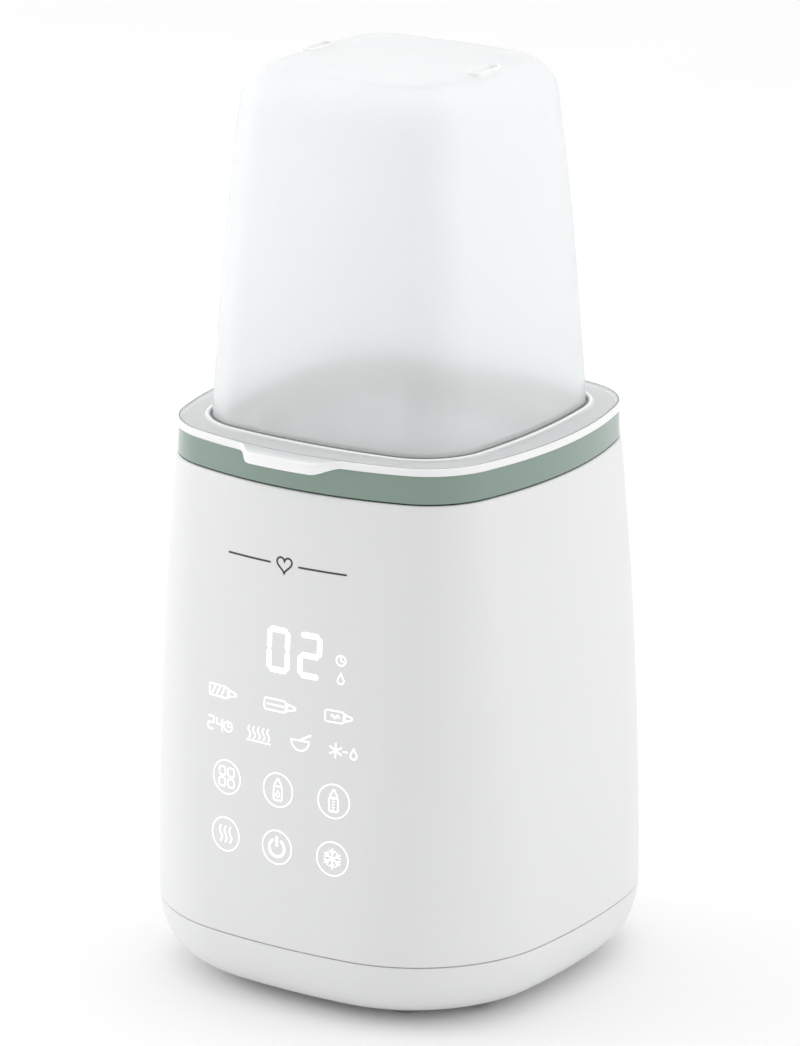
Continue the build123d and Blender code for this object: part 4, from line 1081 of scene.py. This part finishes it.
def flake(x, z, size, branch=True):
    """A six-armed snow crystal."""
    strokes = []
    middle = Vector((x, z))
    for arm in range(3):
        bearing = 60 * arm + 90
        way = Vector((cos(radians(bearing)), sin(radians(bearing))))
        strokes.append(([tuple(middle - way * size), tuple(middle + way * size)], FINE, False))
        for end in (-1, 1) if branch else ():
            for turn in (-50, 50):
                tip = middle + way * size * 0.55 * end
                side = Vector((cos(radians(bearing + turn)), sin(radians(bearing + turn)))) * end
                strokes.append(([tuple(tip), tuple(tip + side * size * 0.4)], FINE, False))
    return strokes


dash = [([(21.4, LEGEND_LOW), (22.6, LEGEND_LOW)], FINE, False)]
melted = [(drop_path(24.6, LEGEND_LOW - 0.4, 2.0), FINE, True)]
lit_mark("legend_thaw", flake(18.9, LEGEND_LOW, 2.1, False) + dash + melted)

# %% [markdown]
# Six touch keys, each a thin ring with its sign: programmes, a plain bottle, a graduated bottle,
# warm, on and off, and cold. A key has no travel: a spring behind the wall feels the finger.

# %% Touch keys
KEY_RING, KEY_LINE = 5.05, 0.34
KEY_COLUMN = 18.7
KEY_HIGH, KEY_LOW = 68.8, 51.5


def standing_bottle(x, z):
    """A bottle that stands, with its collar and teat."""
    body = rounded_box(x, z - 1.0, 2.9, 4.2, 0.6)
    shoulder = [(x - 1.0, z + 1.25), (x - 1.15, z + 1.9), (x - 0.55, z + 2.5), (x - 0.35, z + 3.3),
                (x + 0.35, z + 3.3), (x + 0.55, z + 2.5), (x + 1.15, z + 1.9), (x + 1.0, z + 1.25)]
    return [(body, 0.45, True), (shoulder, 0.42, False)]


squares = []
for i, j in corners:
    squares.append((rounded_box(-KEY_COLUMN + i * 1.65, KEY_HIGH + j * 1.65, 2.3, 2.5, 0.6), 0.4, True))
scale = []
for z in spread(KEY_HIGH - 2.6, KEY_HIGH + 0.6, 5):
    scale.append(([(KEY_COLUMN - 0.4, z), (KEY_COLUMN + 0.3, z)], 0.25, False))
warm = [(steam_path(-KEY_COLUMN + x, KEY_LOW, 4.6), 0.5, False) for x in (-1.8, 0, 1.8)]
power = [(arc_path(0, KEY_LOW - 0.2, 2.6, 125, 415, 40), 0.8, False)]
power += [([(0, KEY_LOW + 0.6), (0, KEY_LOW + 3.0)], 0.8, False)]
milk_drop = [(drop_path(0, KEY_HIGH - 1.2, 1.2), 0.3, True)]
signs = {
    "programmes": (-KEY_COLUMN, KEY_HIGH, squares),
    "milk": (0, KEY_HIGH, standing_bottle(0, KEY_HIGH) + milk_drop),
    "water": (KEY_COLUMN, KEY_HIGH, standing_bottle(KEY_COLUMN, KEY_HIGH) + scale),
    "warm": (-KEY_COLUMN, KEY_LOW, warm),
    "power": (0, KEY_LOW, power),
    "cold": (KEY_COLUMN, KEY_LOW, flake(KEY_COLUMN, KEY_LOW, 2.9)),
}
for name, (x, z, strokes) in signs.items():
    lit_mark("key_" + name, [(circle_path(x, z, KEY_RING), KEY_LINE, True)] + strokes)

# %% [markdown]
# Above the display the front carries one dark printed ornament: a heart between two lines.

# %% Printed ornament
ORNAMENT_ROW, ORNAMENT_LINE = 135.8, 0.55
HEART_ROW, HEART_SCALE = 135.9, 0.16
LINE_FROM, LINE_TO = 5.0, 20.2
heart = []
for t in spread(0, 2 * pi, 41)[:-1]:
    rise = 13 * cos(t) - 5 * cos(2 * t) - 2 * cos(3 * t) - cos(4 * t)
    heart.append((HEART_SCALE * 16 * sin(t) ** 3, HEART_ROW + HEART_SCALE * rise))
lines = []
for side in (-1, 1):
    lines.append(([(side * LINE_FROM, ORNAMENT_ROW), (side * LINE_TO, ORNAMENT_ROW)], ORNAMENT_LINE, False))
mark("front_ornament", [(heart, ORNAMENT_LINE, True)] + lines, print_grey, "display_module")

# %% [markdown]
# What stays a CAD node still needs a finish. The basket and the well show when the lid is off,
# the feet and the gland from below and behind, and the boards through the air slots. Metals get
# a stretched noise for their drawing lines, rubbers a dull mottled one, and the boards a gloss.

# %% More finishes
def metal(name, colour, roughness, stretch=(1, 1, 1), lines=900):
    """Bare metal with fine lines along one direction."""
    material, tree, shader = new_material(name)
    place = tree.nodes.new("ShaderNodeTexCoord")
    mapping = tree.nodes.new("ShaderNodeMapping")
    mapping.inputs["Scale"].default_value = stretch
    texture = tree.nodes.new("ShaderNodeTexNoise")
    texture.inputs["Scale"].default_value = lines
    texture.inputs["Detail"].default_value = 3
    tree.links.new(place.outputs["Object"], mapping.inputs["Vector"])
    tree.links.new(mapping.outputs["Vector"], texture.inputs["Vector"])
    darker = tuple(channel * 0.86 for channel in colour)
    tree.links.new(two_tone(tree, texture.outputs["Fac"], darker, colour), shader.inputs["Base Color"])
    tree.links.new(between(tree, texture.outputs["Fac"], roughness - 0.07, roughness + 0.07),
                   shader.inputs["Roughness"])
    tree.links.new(bump(tree, texture.outputs["Fac"], 0.4, 0.02 * MM), shader.inputs["Normal"])
    shader.inputs["Metallic"].default_value = 1.0
    return material


def dress(material, *nodes):
    """Gives CAD nodes a finish."""
    for node in nodes:
        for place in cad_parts[node].material_slots:
            place.material = material
    print(material.name, nodes)


silicone = moulded("silicone", (0.62, 0.62, 0.6), 0.55, 0.8, 0.02)
foot_rubber = moulded("foot_rubber", (0.36, 0.37, 0.37), 0.75, 0.5, 0.05, tone=0.02)
gland_rubber = moulded("gland_rubber", (0.62, 0.62, 0.61), 0.6, 0.5, 0.03)
dress(silicone, "well_gasket", "plate_seal")
dress(foot_rubber, "rubber_feet")
dress(gland_rubber, "cord_gland")
dress(basket_white, "lift_basket")
dress(well_white, "inner_well", "support_deck")
dress(metal("turned_steel", (0.62, 0.63, 0.64), 0.3, (0.3, 1, 1), 700), "heating_plate")
dress(metal("pressed_steel", (0.55, 0.56, 0.57), 0.4, (1, 0.2, 1)), "heater_clamp")
dress(metal("zinc_plate", (0.6, 0.61, 0.63), 0.32), "well_screws", "clamp_screws", "display_screws",
      "board_screws", "base_screws", "cord_clamp_screws")
dress(metal("plated_wire", (0.68, 0.62, 0.5), 0.25), "touch_springs")
dress(metal("aluminium_case", (0.75, 0.75, 0.76), 0.35, (0.2, 1, 1)), "ptc_heater", "temperature_sensor")
dress(moulded("board_green", (0.02, 0.12, 0.05), 0.3, 0.6, 0.03, tone=0.01, coat=0.4), "main_board",
      "display_board")
dress(moulded("frame_white", (0.75, 0.75, 0.75), 0.5), "light_frame")
dress(moulded("epoxy_black", (0.02, 0.02, 0.022), 0.45, 0.2, 0.02, tone=0.006), "control_chip", "buzzer",
      "cutoff_thermostat", "cord_clamp")
dress(moulded("display_face", (0.03, 0.03, 0.035), 0.2, 0.3, 0.005, tone=0.006, coat=0.6), "digit_module")
dress(moulded("clear_lens", (0.82, 0.82, 0.72), 0.15, 0.3, 0.005, coat=0.5), "indicator_leds")
dress(moulded("relay_blue", (0.02, 0.06, 0.25), 0.4), "relay")
dress(moulded("amber_tape", (0.6, 0.42, 0.05), 0.25, 1.0, 0.03, tone=0.04, coat=0.3), "transformer")
dress(moulded("can_sleeve", (0.02, 0.03, 0.07), 0.25, 0.6, 0.01, tone=0.008, coat=0.4), "filter_capacitor")
dress(moulded("nylon_cream", (0.72, 0.7, 0.62), 0.45), "mains_connector", "lead_connector")
dress(moulded("glazed_body", (0.68, 0.66, 0.56), 0.2, 0.8, 0.01, coat=0.5), "thermal_fuse")
dress(moulded("red_silicone", (0.5, 0.03, 0.02), 0.5, 0.4, 0.02), "heater_leads")
dress(moulded("black_silicone", (0.02, 0.02, 0.025), 0.5, 0.4, 0.02, tone=0.006), "sensor_leads")
dress(moulded("ribbon_film", (0.7, 0.69, 0.64), 0.4, 1.2, 0.03), "display_ribbon")
